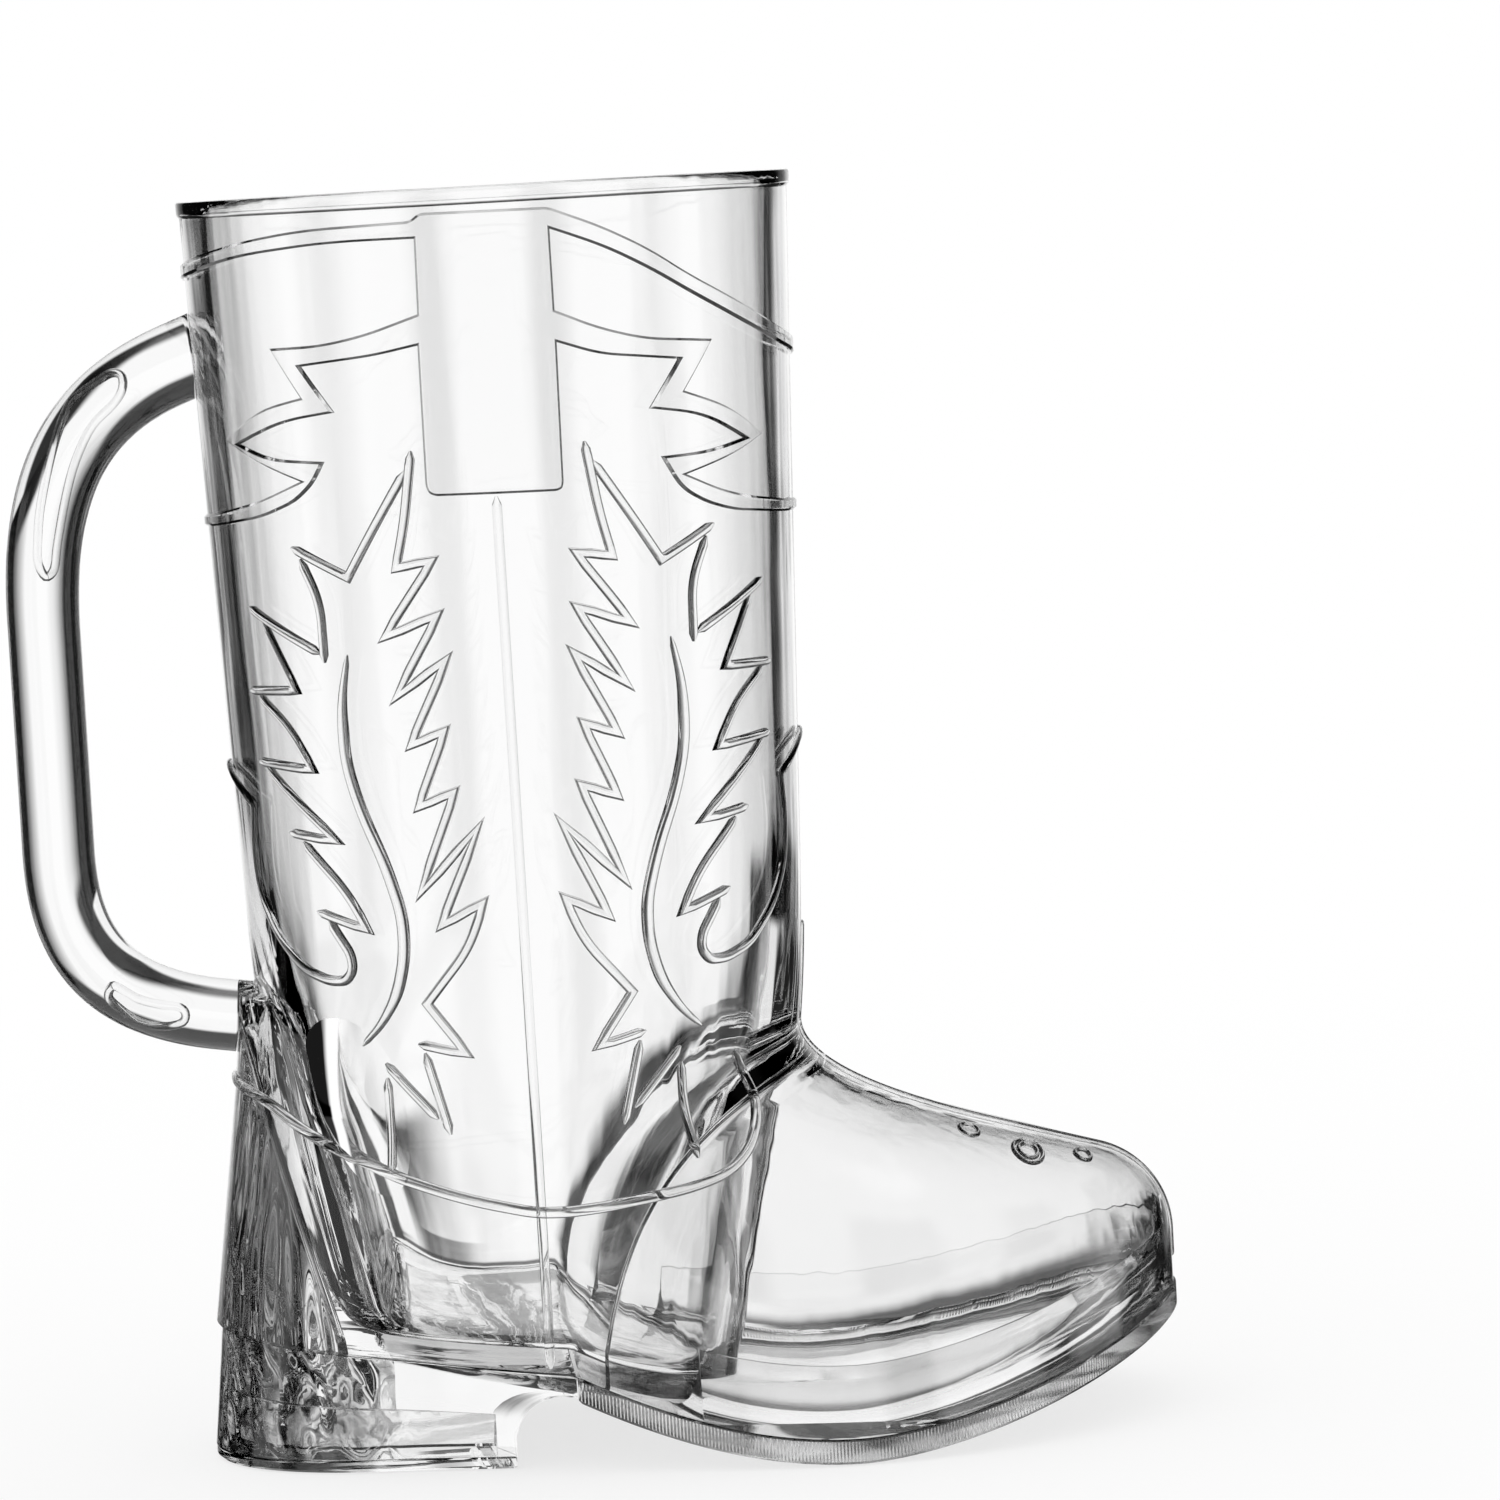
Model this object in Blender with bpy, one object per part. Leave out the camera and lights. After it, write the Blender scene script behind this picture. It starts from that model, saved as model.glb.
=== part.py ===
"""A clear plastic drinking mug in the shape of a western boot: shell, handle, sole, heel and heel cap.

X runs to the toe, Y to the boot's left side, Z up. The origin is on the table under the middle of the mug.
Every height and width below is that of the real mug, in metres.
"""

import math

import bmesh
import bpy

MM = 0.001

# The shaft, measured on its outside. Its axis is the zero of every X in this file until the last step.
HEIGHT = 155.0 * MM
RIM_LENGTH = 74.9 * MM
RIM_WIDTH = 71.0 * MM
SHAFT_TAPER = 0.034
LIP_HEIGHT = 1.6 * MM
LIP_PROUD = 0.3 * MM

# The drinking well inside it: below the ankle its front and back lean in, so that its core can be drawn.
WALL = 2.4 * MM
FLOOR = 4.2 * MM
ANKLE_HEIGHT = 56.0 * MM
WELL_SLOPE = 0.105
WELL_SIDE_SLOPE = 0.02
ANKLE_SOFTNESS = 4.0 * MM

# The foot in side view: the counter stands a little behind the rim, and the vamp falls to the toe.
COUNTER_BEHIND_RIM = 3.75 * MM
HEEL_REACH = RIM_LENGTH / 2 + COUNTER_BEHIND_RIM
TOE_REACH = 78.2 * MM
VAMP_TOP = ANKLE_HEIGHT - ANKLE_SOFTNESS
VAMP_END = 29.3 * MM
VAMP_SLOPE = (VAMP_TOP - VAMP_END) / TOE_REACH
TOE_RADIUS = 11.6 * MM
COUNTER_SLOPE = 7.0
INSTEP_BLEND = 27.0 * MM
SIDE_BLEND = 5.0 * MM

# The foot in plan, as wide as the rim at the ball, and how square its cross-sections are.
BALL_X = 34.0 * MM
BALL_WIDTH = RIM_WIDTH
HEEL_SEAT_WIDTH = 53.0 * MM
HEEL_ROUND = 25.0 * MM
HEEL_SQUARENESS = 2.2
FOOT_SQUARENESS = 2.5

# The edge where the shell meets the sole and heel.
SOLE_THICKNESS = 2.8 * MM
GAP = 0.3 * MM
HEEL_SEAT_HEIGHT = 16.9 * MM
SHANK_X = 2.9 * MM
SHANK_HEIGHT = 11.9 * MM
CONTACT_X = 36.8 * MM
TOE_LIFT = 11.3 * MM
TOE_LIFT_POWER = 1.6

# The sole plate.
WELT = 0.5 * MM
SPIGOT_HEIGHT = 4.0 * MM
SPIGOT_THICKNESS = 1.6 * MM
SPIGOT_START_X = 26.0 * MM

# The heel and its cap.
HEEL_INSET = 0.7 * MM
HEEL_FLARE = 1.9 * MM
HEEL_FOOT_WIDTH = 44.0 * MM
HEEL_WALL = 2.2 * MM
BREAST_X = -4.8 * MM
BREAST_RADIUS = 6.0 * MM
CAP_THICKNESS = 1.5 * MM
CAP_BOSS_HEIGHT = 1.6 * MM

# The handle, along its middle line: it hangs from below the rim to just under the ankle.
HANDLE_RADIUS = 4.5 * MM
HANDLE_BEHIND_RIM = 19.65 * MM
HANDLE_REACH = RIM_LENGTH / 2 + HANDLE_BEHIND_RIM
HANDLE_BELOW_RIM = 17.6 * MM
HANDLE_BELOW_ANKLE = 2.2 * MM
HANDLE_TOP_DROP = 33.4 * MM
HANDLE_BOTTOM_RISE = 22.2 * MM
HANDLE_SWELL_RATIO = 1.14

# How many points lie round each form, and how far a cutter reaches past what it cuts.
AROUND = 60
OVERCUT = 3.0 * MM


def clear_scene():
    """Remove every object of the startup scene."""
    for obj in list(bpy.data.objects):
        bpy.data.objects.remove(obj, do_unlink=True)


def collection_named(name, hidden=False):
    """Make a collection in the scene; a hidden one holds cutters."""
    collection = bpy.data.collections.new(name)
    collection.hide_render = hidden
    bpy.context.scene.collection.children.link(collection)
    return collection


def spread(first, last, count):
    """Evenly spaced values from first to last, both included."""
    return [first + (last - first) * i / (count - 1) for i in range(count)]


def soft_ramp(value, softness):
    """Zero well below 0, the value itself well above it, with a rounded corner between."""
    return softness * math.log1p(math.exp(value / softness))


def soft_max(a, b, width):
    """The larger of two values, rounded over where they come within the width of each other."""
    near = max(width - abs(a - b), 0.0) / width
    return max(a, b) + near * near * width / 4


def shaft_half_length(z, inset=0.0):
    """Half the fore-and-aft size of the shaft, or of the well's jacket below the ankle."""
    lean = WELL_SLOPE * soft_ramp(ANKLE_HEIGHT - z, ANKLE_SOFTNESS)
    return RIM_LENGTH / 2 - SHAFT_TAPER * (HEIGHT - z) - lean - inset


def shaft_radius(turn, z, inset=0.0):
    """Distance from the axis to the shaft's oval in one direction."""
    lean = WELL_SIDE_SLOPE * soft_ramp(ANKLE_HEIGHT - z, ANKLE_SOFTNESS)
    width = RIM_WIDTH / 2 - SHAFT_TAPER * (HEIGHT - z) - lean - inset
    return 1 / math.hypot(math.cos(turn) / shaft_half_length(z, inset), math.sin(turn) / width)


def feather(x):
    """Height of the shell's lower edge, where the sole and the heel meet it."""
    ball = SOLE_THICKNESS + GAP
    if x > CONTACT_X:
        return ball + TOE_LIFT * ((x - CONTACT_X) / (TOE_REACH - CONTACT_X)) ** TOE_LIFT_POWER
    arch = ball + (SHANK_HEIGHT - ball) * ((CONTACT_X - x) / (CONTACT_X - SHANK_X)) ** 2
    seat = SHANK_HEIGHT + (HEEL_SEAT_HEIGHT - SHANK_HEIGHT) * (SHANK_X - x) / (SHANK_X + HEEL_REACH)
    return min(arch, seat)


def counter_reach(z, inset=0.0):
    """How far the counter stands behind the axis at a height: it leans in toward the shaft."""
    return HEEL_REACH - inset - max(z - HEEL_SEAT_HEIGHT, 0.0) / COUNTER_SLOPE


def plan_half_width(x, z, inset=0.0):
    """Half the width of the foot in plan: a round heel, a waist that widens to the ball, a round toe."""
    heel = HEEL_SEAT_WIDTH / 2 - inset
    ball = BALL_WIDTH / 2 - inset
    heel_x = HEEL_ROUND - HEEL_REACH
    if x < heel_x:
        back = min((heel_x - x) / (counter_reach(z, inset) + heel_x), 1.0)
        return heel * (1 - back**HEEL_SQUARENESS) ** (1 / HEEL_SQUARENESS)
    if x > BALL_X:
        front = min((x - BALL_X) / (TOE_REACH - inset - BALL_X), 1.0)
        return ball * math.sqrt(1 - front * front)
    along = (x - heel_x) / (BALL_X - heel_x)
    return heel + (ball - heel) * along * along * (3 - 2 * along)


def vamp_height(x, inset=0.0):
    """Height of the straight ridge of the vamp, carried on in both directions."""
    return VAMP_TOP - VAMP_SLOPE * x - inset * math.hypot(1, VAMP_SLOPE)


def toe_centre():
    """Centre of the round end of the toe in side view."""
    x = TOE_REACH - TOE_RADIUS
    return x, vamp_height(x, TOE_RADIUS)


def ridge_height(x, inset=0.0):
    """Height of the foot's top line at x: down the vamp and round the toe."""
    toe_x, toe_z = toe_centre()
    tip = TOE_RADIUS - inset
    if x >= toe_x + tip * VAMP_SLOPE / math.hypot(1, VAMP_SLOPE):
        return toe_z + math.sqrt(max(tip * tip - (x - toe_x) ** 2, 0.0))
    return vamp_height(x, inset)


def foot_half_width(x, z, inset=0.0):
    """Half the width of the foot at a place in side view; negative outside it."""
    top = ridge_height(x, inset)
    bottom = feather(x)
    if z >= top or x > TOE_REACH - inset or x < -counter_reach(z, inset):
        return -1.0
    up = max(z - bottom, 0.0) / max(top - bottom, 1e-6)
    return plan_half_width(x, z, inset) * (1 - up**FOOT_SQUARENESS) ** (1 / FOOT_SQUARENESS)


def foot_radius(turn, z, inset=0.0):
    """Distance from the axis to the foot's outline in one direction at a height, or 0 above the foot."""
    near, far = 0.0, 2 * TOE_REACH
    for _ in range(36):
        middle = (near + far) / 2
        width = foot_half_width(middle * math.cos(turn), z, inset)
        if width >= abs(middle * math.sin(turn)):
            near = middle
        else:
            far = middle
    return near


def outer_radius(turn, z, inset=0.0):
    """Distance from the axis to the outside of the boot, or to a form inside it: shaft and foot in one."""
    proud = LIP_PROUD if z > HEIGHT - LIP_HEIGHT else 0.0
    ahead = max(math.cos(turn), 0.0) ** 2
    blend = SIDE_BLEND + (INSTEP_BLEND - SIDE_BLEND) * ahead
    return soft_max(shaft_radius(turn, z, inset - proud), foot_radius(turn, z, inset), blend)


def edge_radius(turn):
    """Distance from the axis to the shell's lower edge."""
    radius = outer_radius(turn, SHANK_HEIGHT)
    for _ in range(6):
        radius = outer_radius(turn, feather(radius * math.cos(turn)))
    return radius


def boot_turns():
    """Directions round the axis, closer together toward the toe, starting at the toe."""
    steps = [2 * math.pi * i / AROUND for i in range(AROUND)]
    return [step - 0.35 * math.sin(step) for step in steps]


def oval_turns():
    """Even directions round the axis, half a step off it, so that no edge lies on one of the boot's."""
    return [2 * math.pi * (i + 0.5) / AROUND for i in range(AROUND)]


def ring(z, radius, turns):
    """One level of a loft, from a radius for each direction."""
    reaches = [(turn, radius(turn)) for turn in turns]
    return [(reach * math.cos(turn), reach * math.sin(turn), z) for turn, reach in reaches]


def boot_rings(levels, radius):
    """Rings of a form that follows the boot, from a radius for each direction and height."""
    return [ring(z, lambda turn: radius(turn, z), boot_turns()) for z in levels]


def loft(name, rings, collection):
    """A closed solid through rings of as many points each, lowest first, in flat triangles."""
    mesh = bpy.data.meshes.new(name)
    shape = bmesh.new()
    levels = [[shape.verts.new(point) for point in points] for points in rings]
    for low, high in zip(levels, levels[1:]):
        for i in range(len(low)):
            shape.faces.new((low[i - 1], low[i], high[i], high[i - 1]))
    shape.faces.new(reversed(levels[0]))
    shape.faces.new(levels[-1])
    bmesh.ops.triangulate(shape, faces=shape.faces)
    bmesh.ops.recalc_face_normals(shape, faces=shape.faces)
    shape.to_mesh(mesh)
    shape.free()
    obj = bpy.data.objects.new(name, mesh)
    collection.objects.link(obj)
    return obj


def slab(name, outline, collection):
    """A side-view outline of (x, z) pairs carried right across the mug."""
    curve = bpy.data.curves.new(name, "CURVE")
    curve.dimensions = "2D"
    curve.fill_mode = "BOTH"
    curve.extrude = BALL_WIDTH + RIM_WIDTH
    spline = curve.splines.new("POLY")
    spline.points.add(len(outline) - 1)
    for point, (x, z) in zip(spline.points, outline):
        point.co = (x, z, 0.0, 1.0)
    spline.use_cyclic_u = True
    obj = bpy.data.objects.new(name, curve)
    collection.objects.link(obj)
    return as_mesh(obj, collection, turn=True)


def as_mesh(obj, collection, turn=False):
    """Replace a curve object with its mesh, caps joined; turn stands a flat outline up."""
    bpy.context.view_layer.update()
    evaluated = obj.evaluated_get(bpy.context.evaluated_depsgraph_get())
    mesh = bpy.data.meshes.new_from_object(evaluated)
    name = obj.name
    bpy.data.objects.remove(obj, do_unlink=True)
    shape = bmesh.new()
    shape.from_mesh(mesh)
    bmesh.ops.remove_doubles(shape, verts=shape.verts, dist=1e-6)
    if turn:
        for vert in shape.verts:
            vert.co = (vert.co.x, -vert.co.z, vert.co.y)
    bmesh.ops.recalc_face_normals(shape, faces=shape.faces)
    shape.to_mesh(mesh)
    shape.free()
    solid = bpy.data.objects.new(name, mesh)
    collection.objects.link(solid)
    return solid


def boolean(obj, operation, other):
    """Add a Boolean with another object, which then only serves as a tool."""
    modifier = obj.modifiers.new(operation.lower() + "_" + other.name, "BOOLEAN")
    modifier.operation = operation
    modifier.solver = "EXACT"
    modifier.object = other
    other.hide_render = True
    other.display_type = "WIRE"


def give_plastic(obj, name, shade):
    """A clear styrene with a faint grey of its own."""
    material = bpy.data.materials.new(name)
    material.use_nodes = True
    shader = material.node_tree.nodes["Principled BSDF"]
    shader.inputs["Base Color"].default_value = (shade, shade, shade * 1.01, 1.0)
    shader.inputs["Roughness"].default_value = 0.05
    shader.inputs["Metallic"].default_value = 0.0
    obj.data.materials.append(material)
    for polygon in obj.data.polygons:
        polygon.use_smooth = True
    obj.data.set_sharp_from_angle(angle=math.radians(32))


def foot_levels(inset):
    """Heights of the rings of the foot, closer where its side view curves."""
    toe_z = toe_centre()[1]
    toe_top = toe_z + (TOE_RADIUS - inset) / math.hypot(1, VAMP_SLOPE)
    vamp_top = vamp_height(shaft_half_length(VAMP_TOP), inset)
    low = spread(-OVERCUT - inset, toe_z, 6)
    toe = spread(toe_z, toe_top, 6)
    return low[:-1] + toe[:-1] + spread(toe_top, vamp_top, 5)


def boot_levels():
    """Heights of the rings of the whole boot, up to its lip."""
    foot = foot_levels(0.0)
    lip = HEIGHT - LIP_HEIGHT
    ankle = spread(foot[-1], VAMP_TOP + ANKLE_SOFTNESS, 7)
    shaft = spread(ankle[-1], lip, 9)
    return foot[:-1] + ankle[:-1] + shaft + [lip + 0.1 * MM, HEIGHT]


def feather_line(first, last, count, raised=0.0):
    """The shell's lower edge as (x, z) pairs."""
    return [(x, feather(x) + raised) for x in spread(first, last, count)]


def below_feather(name, raised, collection):
    """Everything under the shell's lower edge, or under a line that runs above it."""
    line = feather_line(-2 * HEEL_REACH, SHANK_X, 3, raised)[:-1]
    line += feather_line(SHANK_X, TOE_REACH * 1.1, 29, raised)
    low = -HEEL_SEAT_HEIGHT
    return slab(name, [(line[0][0], low)] + line + [(line[-1][0], low)], collection)


def jacket(name, inset, levels, collection):
    """The tapering oval of the shaft, shrunk by an inset."""
    rings = [ring(z, lambda turn: shaft_radius(turn, z, inset), oval_turns()) for z in levels]
    return loft(name, rings, collection)


def foot_core(name, inset, collection):
    """The inside of the foot, as one smooth form without the shaft."""
    levels = foot_levels(inset)
    levels += spread(levels[-1], vamp_height(0.0, inset) - ANKLE_SOFTNESS, 4)[1:]
    return loft(name, boot_rings(levels, lambda turn, z: foot_radius(turn, z, inset)), collection)


def boot_core(name, inset, collection):
    """The inside of the boot up to the ankle, at one distance from its outside."""
    levels = foot_levels(inset)
    levels += spread(levels[-1], VAMP_TOP, 9)[1:]
    return loft(name, boot_rings(levels, lambda turn, z: outer_radius(turn, z, inset)), collection)


def well_levels(low, high):
    """Heights of the rings of the well, closer round the bend at the ankle."""
    bend = [ANKLE_HEIGHT + ANKLE_SOFTNESS * i for i in (-9, -4, -2, -0.5, 1, 3)]
    return [low] + bend + [high]


def make_shell(parts, cutters):
    """The upper: shaft, vamp, toe and counter, with the well cored from above and two pockets from below."""
    shell = loft("boot_shell", boot_rings(boot_levels(), outer_radius), parts)
    well = jacket("well_core", WALL, well_levels(-OVERCUT, HEIGHT + OVERCUT), cutters)
    boolean(well, "DIFFERENCE", below_feather("well_floor", FLOOR, cutters))
    pocket = boot_core("pocket_core", WALL, cutters)
    boolean(pocket, "DIFFERENCE", jacket("well_jacket", 0.0, well_levels(-3 * OVERCUT, HEIGHT), cutters))
    boolean(shell, "DIFFERENCE", pocket)
    boolean(shell, "DIFFERENCE", well)
    boolean(shell, "DIFFERENCE", below_feather("sole_cut", 0.0, cutters))
    give_plastic(shell, "clear_plastic_shell", 0.93)
    return shell


def make_sole(parts, cutters):
    """The sole plate from the heel's breast to the toe, with a spigot that stands inside the toe."""
    outline = boot_rings((-OVERCUT, VAMP_TOP), lambda turn, z: edge_radius(turn) + WELT)
    sole = loft("sole_plate", outline, parts)
    top = feather_line(SHANK_X + GAP, TOE_REACH * 1.1, 29, -GAP)
    bottom = [(x, z - SOLE_THICKNESS) for x, z in reversed(top)]
    boolean(sole, "INTERSECT", slab("sole_profile", top + bottom, cutters))
    spigot = foot_core("spigot", WALL + GAP, cutters)
    boolean(spigot, "DIFFERENCE", foot_core("spigot_inside", WALL + GAP + SPIGOT_THICKNESS, cutters))
    top = feather_line(SPIGOT_START_X, TOE_REACH, 24, SPIGOT_HEIGHT)
    bottom = [(x, z - SPIGOT_HEIGHT - GAP - SOLE_THICKNESS / 2) for x, z in reversed(top)]
    boolean(spigot, "INTERSECT", slab("spigot_profile", top + bottom, cutters))
    boolean(sole, "UNION", spigot)
    give_plastic(sole, "clear_plastic_sole", 0.9)
    return sole


def heel_form(name, inset, levels, collection):
    """The heel all round: under the shell's edge at the top, narrower and longer at the table."""
    narrow = HEEL_FOOT_WIDTH / HEEL_SEAT_WIDTH - 1
    rings = []
    for z in levels:
        down = 1 - z / HEEL_SEAT_HEIGHT
        longer = 1 + down * HEEL_FLARE / HEEL_REACH
        wider = 1 + down * narrow
        points = ring(z, lambda turn: edge_radius(turn) - HEEL_INSET - inset, boot_turns())
        rings.append([(x * longer, y * wider, z) for x, y, z in points])
    return loft(name, rings, collection)


def breast_line():
    """The hollow front of the heel as (x, z) pairs, from the table up to the shank."""
    shank = feather(SHANK_X) - GAP - SOLE_THICKNESS
    centre_x = BREAST_X + BREAST_RADIUS
    centre_z = shank - BREAST_RADIUS
    curve = [(BREAST_X, CAP_THICKNESS + GAP)]
    for i in range(9):
        turn = math.pi / 2 * i / 8
        x = centre_x - BREAST_RADIUS * math.cos(turn)
        curve.append((x, centre_z + BREAST_RADIUS * math.sin(turn)))
    return curve + [(SHANK_X, shank)]


def behind(name, x, low, high, collection):
    """Everything behind a place, between two heights."""
    back = -2 * HEEL_REACH
    return slab(name, [(x, low), (x, high), (back, high), (back, low)], collection)


def make_heel(parts, cutters):
    """The hollow heel block, open above and below, with its curved breast."""
    top = HEEL_SEAT_HEIGHT + OVERCUT
    heel = heel_form("heel_block", 0.0, [-OVERCUT, top], parts)
    seat = feather_line(SHANK_X, -2 * HEEL_REACH, 5, -GAP)
    profile = breast_line() + seat + [(-2 * HEEL_REACH, CAP_THICKNESS + GAP)]
    boolean(heel, "INTERSECT", slab("heel_profile", profile, cutters))
    core = heel_form("heel_core", HEEL_WALL, [-3 * OVERCUT, top + 2 * OVERCUT], cutters)
    bore = behind("heel_bore", BREAST_X - HEEL_WALL, -2 * OVERCUT, top + OVERCUT, cutters)
    boolean(core, "INTERSECT", bore)
    boolean(heel, "DIFFERENCE", core)
    give_plastic(heel, "clear_plastic_heel", 0.9)
    return heel


def make_cap(parts, cutters):
    """The cap that closes the heel at the table, with a boss that locates it in the heel's bore."""
    levels = [-OVERCUT, CAP_THICKNESS + CAP_BOSS_HEIGHT + OVERCUT]
    cap = heel_form("heel_cap", 0.0, levels, parts)
    boolean(cap, "INTERSECT", behind("cap_plate", BREAST_X, 0.0, CAP_THICKNESS, cutters))
    boss = heel_form("cap_boss", HEEL_WALL + GAP, levels, cutters)
    low = CAP_THICKNESS / 2
    high = CAP_THICKNESS + CAP_BOSS_HEIGHT
    boolean(boss, "INTERSECT", behind("boss_plate", BREAST_X - HEEL_WALL - GAP, low, high, cutters))
    boolean(cap, "UNION", boss)
    give_plastic(cap, "clear_plastic_cap", 0.88)
    return cap


def handle_line():
    """The handle's middle line in side view: Bezier points, each with its pull before and after."""
    inside = WALL * 2
    top_z = HEIGHT - HANDLE_BELOW_RIM
    bend_z = top_z - HANDLE_TOP_DROP
    bottom_z = ANKLE_HEIGHT - HANDLE_BELOW_ANKLE
    bottom_rise = HANDLE_BOTTOM_RISE
    low_bend_z = bottom_z + bottom_rise
    top_x = -shaft_half_length(top_z) + inside
    bottom_x = -shaft_half_length(bottom_z) + inside
    back = -HANDLE_REACH
    top_out = back - top_x
    bottom_out = back - bottom_x
    top_pull = (top_x + top_out * 0.75, top_z - HANDLE_TOP_DROP * 0.1)
    bottom_pull = (bottom_x + bottom_out * 0.8, bottom_z)
    upper_pulls = (back, bend_z + HANDLE_TOP_DROP * 0.58), (back, bend_z - HANDLE_TOP_DROP * 0.2)
    lower_pulls = (back, low_bend_z + bottom_rise * 0.3), (back, low_bend_z - bottom_rise * 0.62)
    return [
        ((top_x, top_z), (top_x + inside, top_z), top_pull),
        ((back, bend_z), *upper_pulls),
        ((back, low_bend_z), *lower_pulls),
        ((bottom_x, bottom_z), bottom_pull, (bottom_x + inside, bottom_z)),
    ]


def make_handle(parts, cutters):
    """The solid handle, swept along its middle line and cut to the round of the shaft at both roots."""
    curve = bpy.data.curves.new("handle", "CURVE")
    curve.dimensions = "3D"
    curve.bevel_depth = HANDLE_RADIUS
    curve.bevel_resolution = 4
    curve.resolution_u = 8
    curve.use_fill_caps = True
    places = handle_line()
    spline = curve.splines.new("BEZIER")
    spline.bezier_points.add(len(places) - 1)
    for point, (place, before, after) in zip(spline.bezier_points, places):
        point.handle_left_type = "FREE"
        point.handle_right_type = "FREE"
        point.co = (place[0], 0.0, place[1])
        point.handle_left = (before[0], 0.0, before[1])
        point.handle_right = (after[0], 0.0, after[1])
    spline.bezier_points[0].radius = HANDLE_SWELL_RATIO
    obj = bpy.data.objects.new("handle", curve)
    parts.objects.link(obj)
    handle = as_mesh(obj, parts)
    boot = boot_rings(boot_levels(), lambda turn, z: outer_radius(turn, z) + GAP)
    boolean(handle, "DIFFERENCE", loft("boot_and_gap", boot, cutters))
    give_plastic(handle, "clear_plastic_handle", 0.93)
    return handle


def main():
    clear_scene()
    parts = collection_named("boot_mug")
    cutters = collection_named("cutters", hidden=True)
    make_shell(parts, cutters)
    make_sole(parts, cutters)
    make_heel(parts, cutters)
    make_cap(parts, cutters)
    make_handle(parts, cutters)
    middle = (TOE_REACH + WELT - HANDLE_REACH - HANDLE_RADIUS) / 2
    for obj in list(parts.objects) + list(cutters.objects):
        for vert in obj.data.vertices:
            vert.co.x -= middle


main()
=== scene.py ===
# %% [markdown]
# # A clear plastic boot mug
# This is a drinking mug in the shape of a western boot, moulded in clear plastic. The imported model
# gives five solids: the boot shell, the handle, the sole, the heel and the heel's cap. This lesson models
# each of them again as a finer piece that can be looked into, adds the raised western stitching, and
# lights it all as clear ware is lit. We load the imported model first, because every piece has to sit
# exactly where its solid does.

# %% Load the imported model
import math

import bmesh
import bpy
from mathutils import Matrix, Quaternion, Vector, noise


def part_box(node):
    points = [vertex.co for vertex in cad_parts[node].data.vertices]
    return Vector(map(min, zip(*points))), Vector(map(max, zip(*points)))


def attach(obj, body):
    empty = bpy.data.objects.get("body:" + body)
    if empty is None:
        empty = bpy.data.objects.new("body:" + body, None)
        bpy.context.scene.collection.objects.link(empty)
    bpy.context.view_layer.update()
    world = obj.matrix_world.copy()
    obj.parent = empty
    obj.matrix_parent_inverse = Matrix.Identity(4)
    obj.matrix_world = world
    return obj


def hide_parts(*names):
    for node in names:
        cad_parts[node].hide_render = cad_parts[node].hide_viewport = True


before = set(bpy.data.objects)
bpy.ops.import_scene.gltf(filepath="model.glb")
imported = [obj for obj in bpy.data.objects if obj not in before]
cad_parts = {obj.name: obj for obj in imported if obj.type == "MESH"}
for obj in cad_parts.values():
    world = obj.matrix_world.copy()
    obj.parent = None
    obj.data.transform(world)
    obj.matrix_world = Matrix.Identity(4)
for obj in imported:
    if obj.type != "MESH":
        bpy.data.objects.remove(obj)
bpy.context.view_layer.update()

scene = bpy.context.scene
print("solids:", ", ".join(sorted(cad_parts)))

# %% [markdown]
# ## The camera
# The photograph is taken from the near side with a long lens, level with the rim, and it leans a little.
# We set the camera before any modelling, so that each piece can be looked at as soon as it is made. A
# long lens far away keeps the upright sides almost parallel, which a short lens close by would not.

# %% Camera
ROLL = math.radians(-3.2)
camera = bpy.data.objects.new("photo_camera", bpy.data.cameras.new("photo_camera"))
camera.data.lens = 161.3
camera.data.clip_end = 50
camera.location = (-0.0086, -0.83, 0.157)
aim = Vector((0.0205, 0.0, 0.0835)) - camera.location
camera.rotation_euler = (aim.to_track_quat("-Z", "Y") @ Quaternion((0, 0, 1), ROLL)).to_euler()
scene.collection.objects.link(camera)
scene.camera = camera
scene.view_settings.view_transform = "Standard"
print("camera is", round(aim.length, 3), "m from the boot")

# %% [markdown]
# ## The plastic
# Clear moulded plastic bends light as glass does. It is never quite perfect: the melt leaves slow waves
# and upright streaks in the surface, and use leaves a fine haze. Where the walls crowd together, at the
# counter and at the back of the heel, the bent light makes the mug look dark and streaked. The uneven walls
# modelled below give only part of that shade, so the colour gives the rest: painted shade in grey streaks,
# placed by where they are on the mug. All of this goes into one node group that puts out a height, a
# roughness and a colour, and each material gives it its own strengths. The shader stays in the material,
# where the strength of the transmission and the index are plain numbers.

# %% Helpers for nodes
def set_or_link(tree, socket, value):
    """Give a socket a plain number, or link it to the output of another node."""
    if isinstance(value, (int, float)):
        socket.default_value = value
    else:
        tree.links.new(value, socket)


def math_node(tree, operation, *values):
    node = tree.nodes.new("ShaderNodeMath")
    node.operation = operation
    for socket, value in zip(node.inputs, values):
        set_or_link(tree, socket, value)
    return node.outputs[0]


def mix_node(tree, factor, a, b):
    node = tree.nodes.new("ShaderNodeMix")
    for name, value in (("Factor", factor), ("A", a), ("B", b)):
        set_or_link(tree, node.inputs[name], value)
    return node.outputs["Result"]


def fade_node(tree, value, start, stop, first, last):
    """A smooth change from the first number to the last while the value goes from start to stop."""
    node = tree.nodes.new("ShaderNodeMapRange")
    node.interpolation_type = "SMOOTHSTEP"
    for name, number in (("From Min", start), ("From Max", stop), ("To Min", first), ("To Max", last)):
        node.inputs[name].default_value = number
    tree.links.new(value, node.inputs["Value"])
    return node.outputs["Result"]


print("node helpers: number or link, math, mix and fade")
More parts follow.
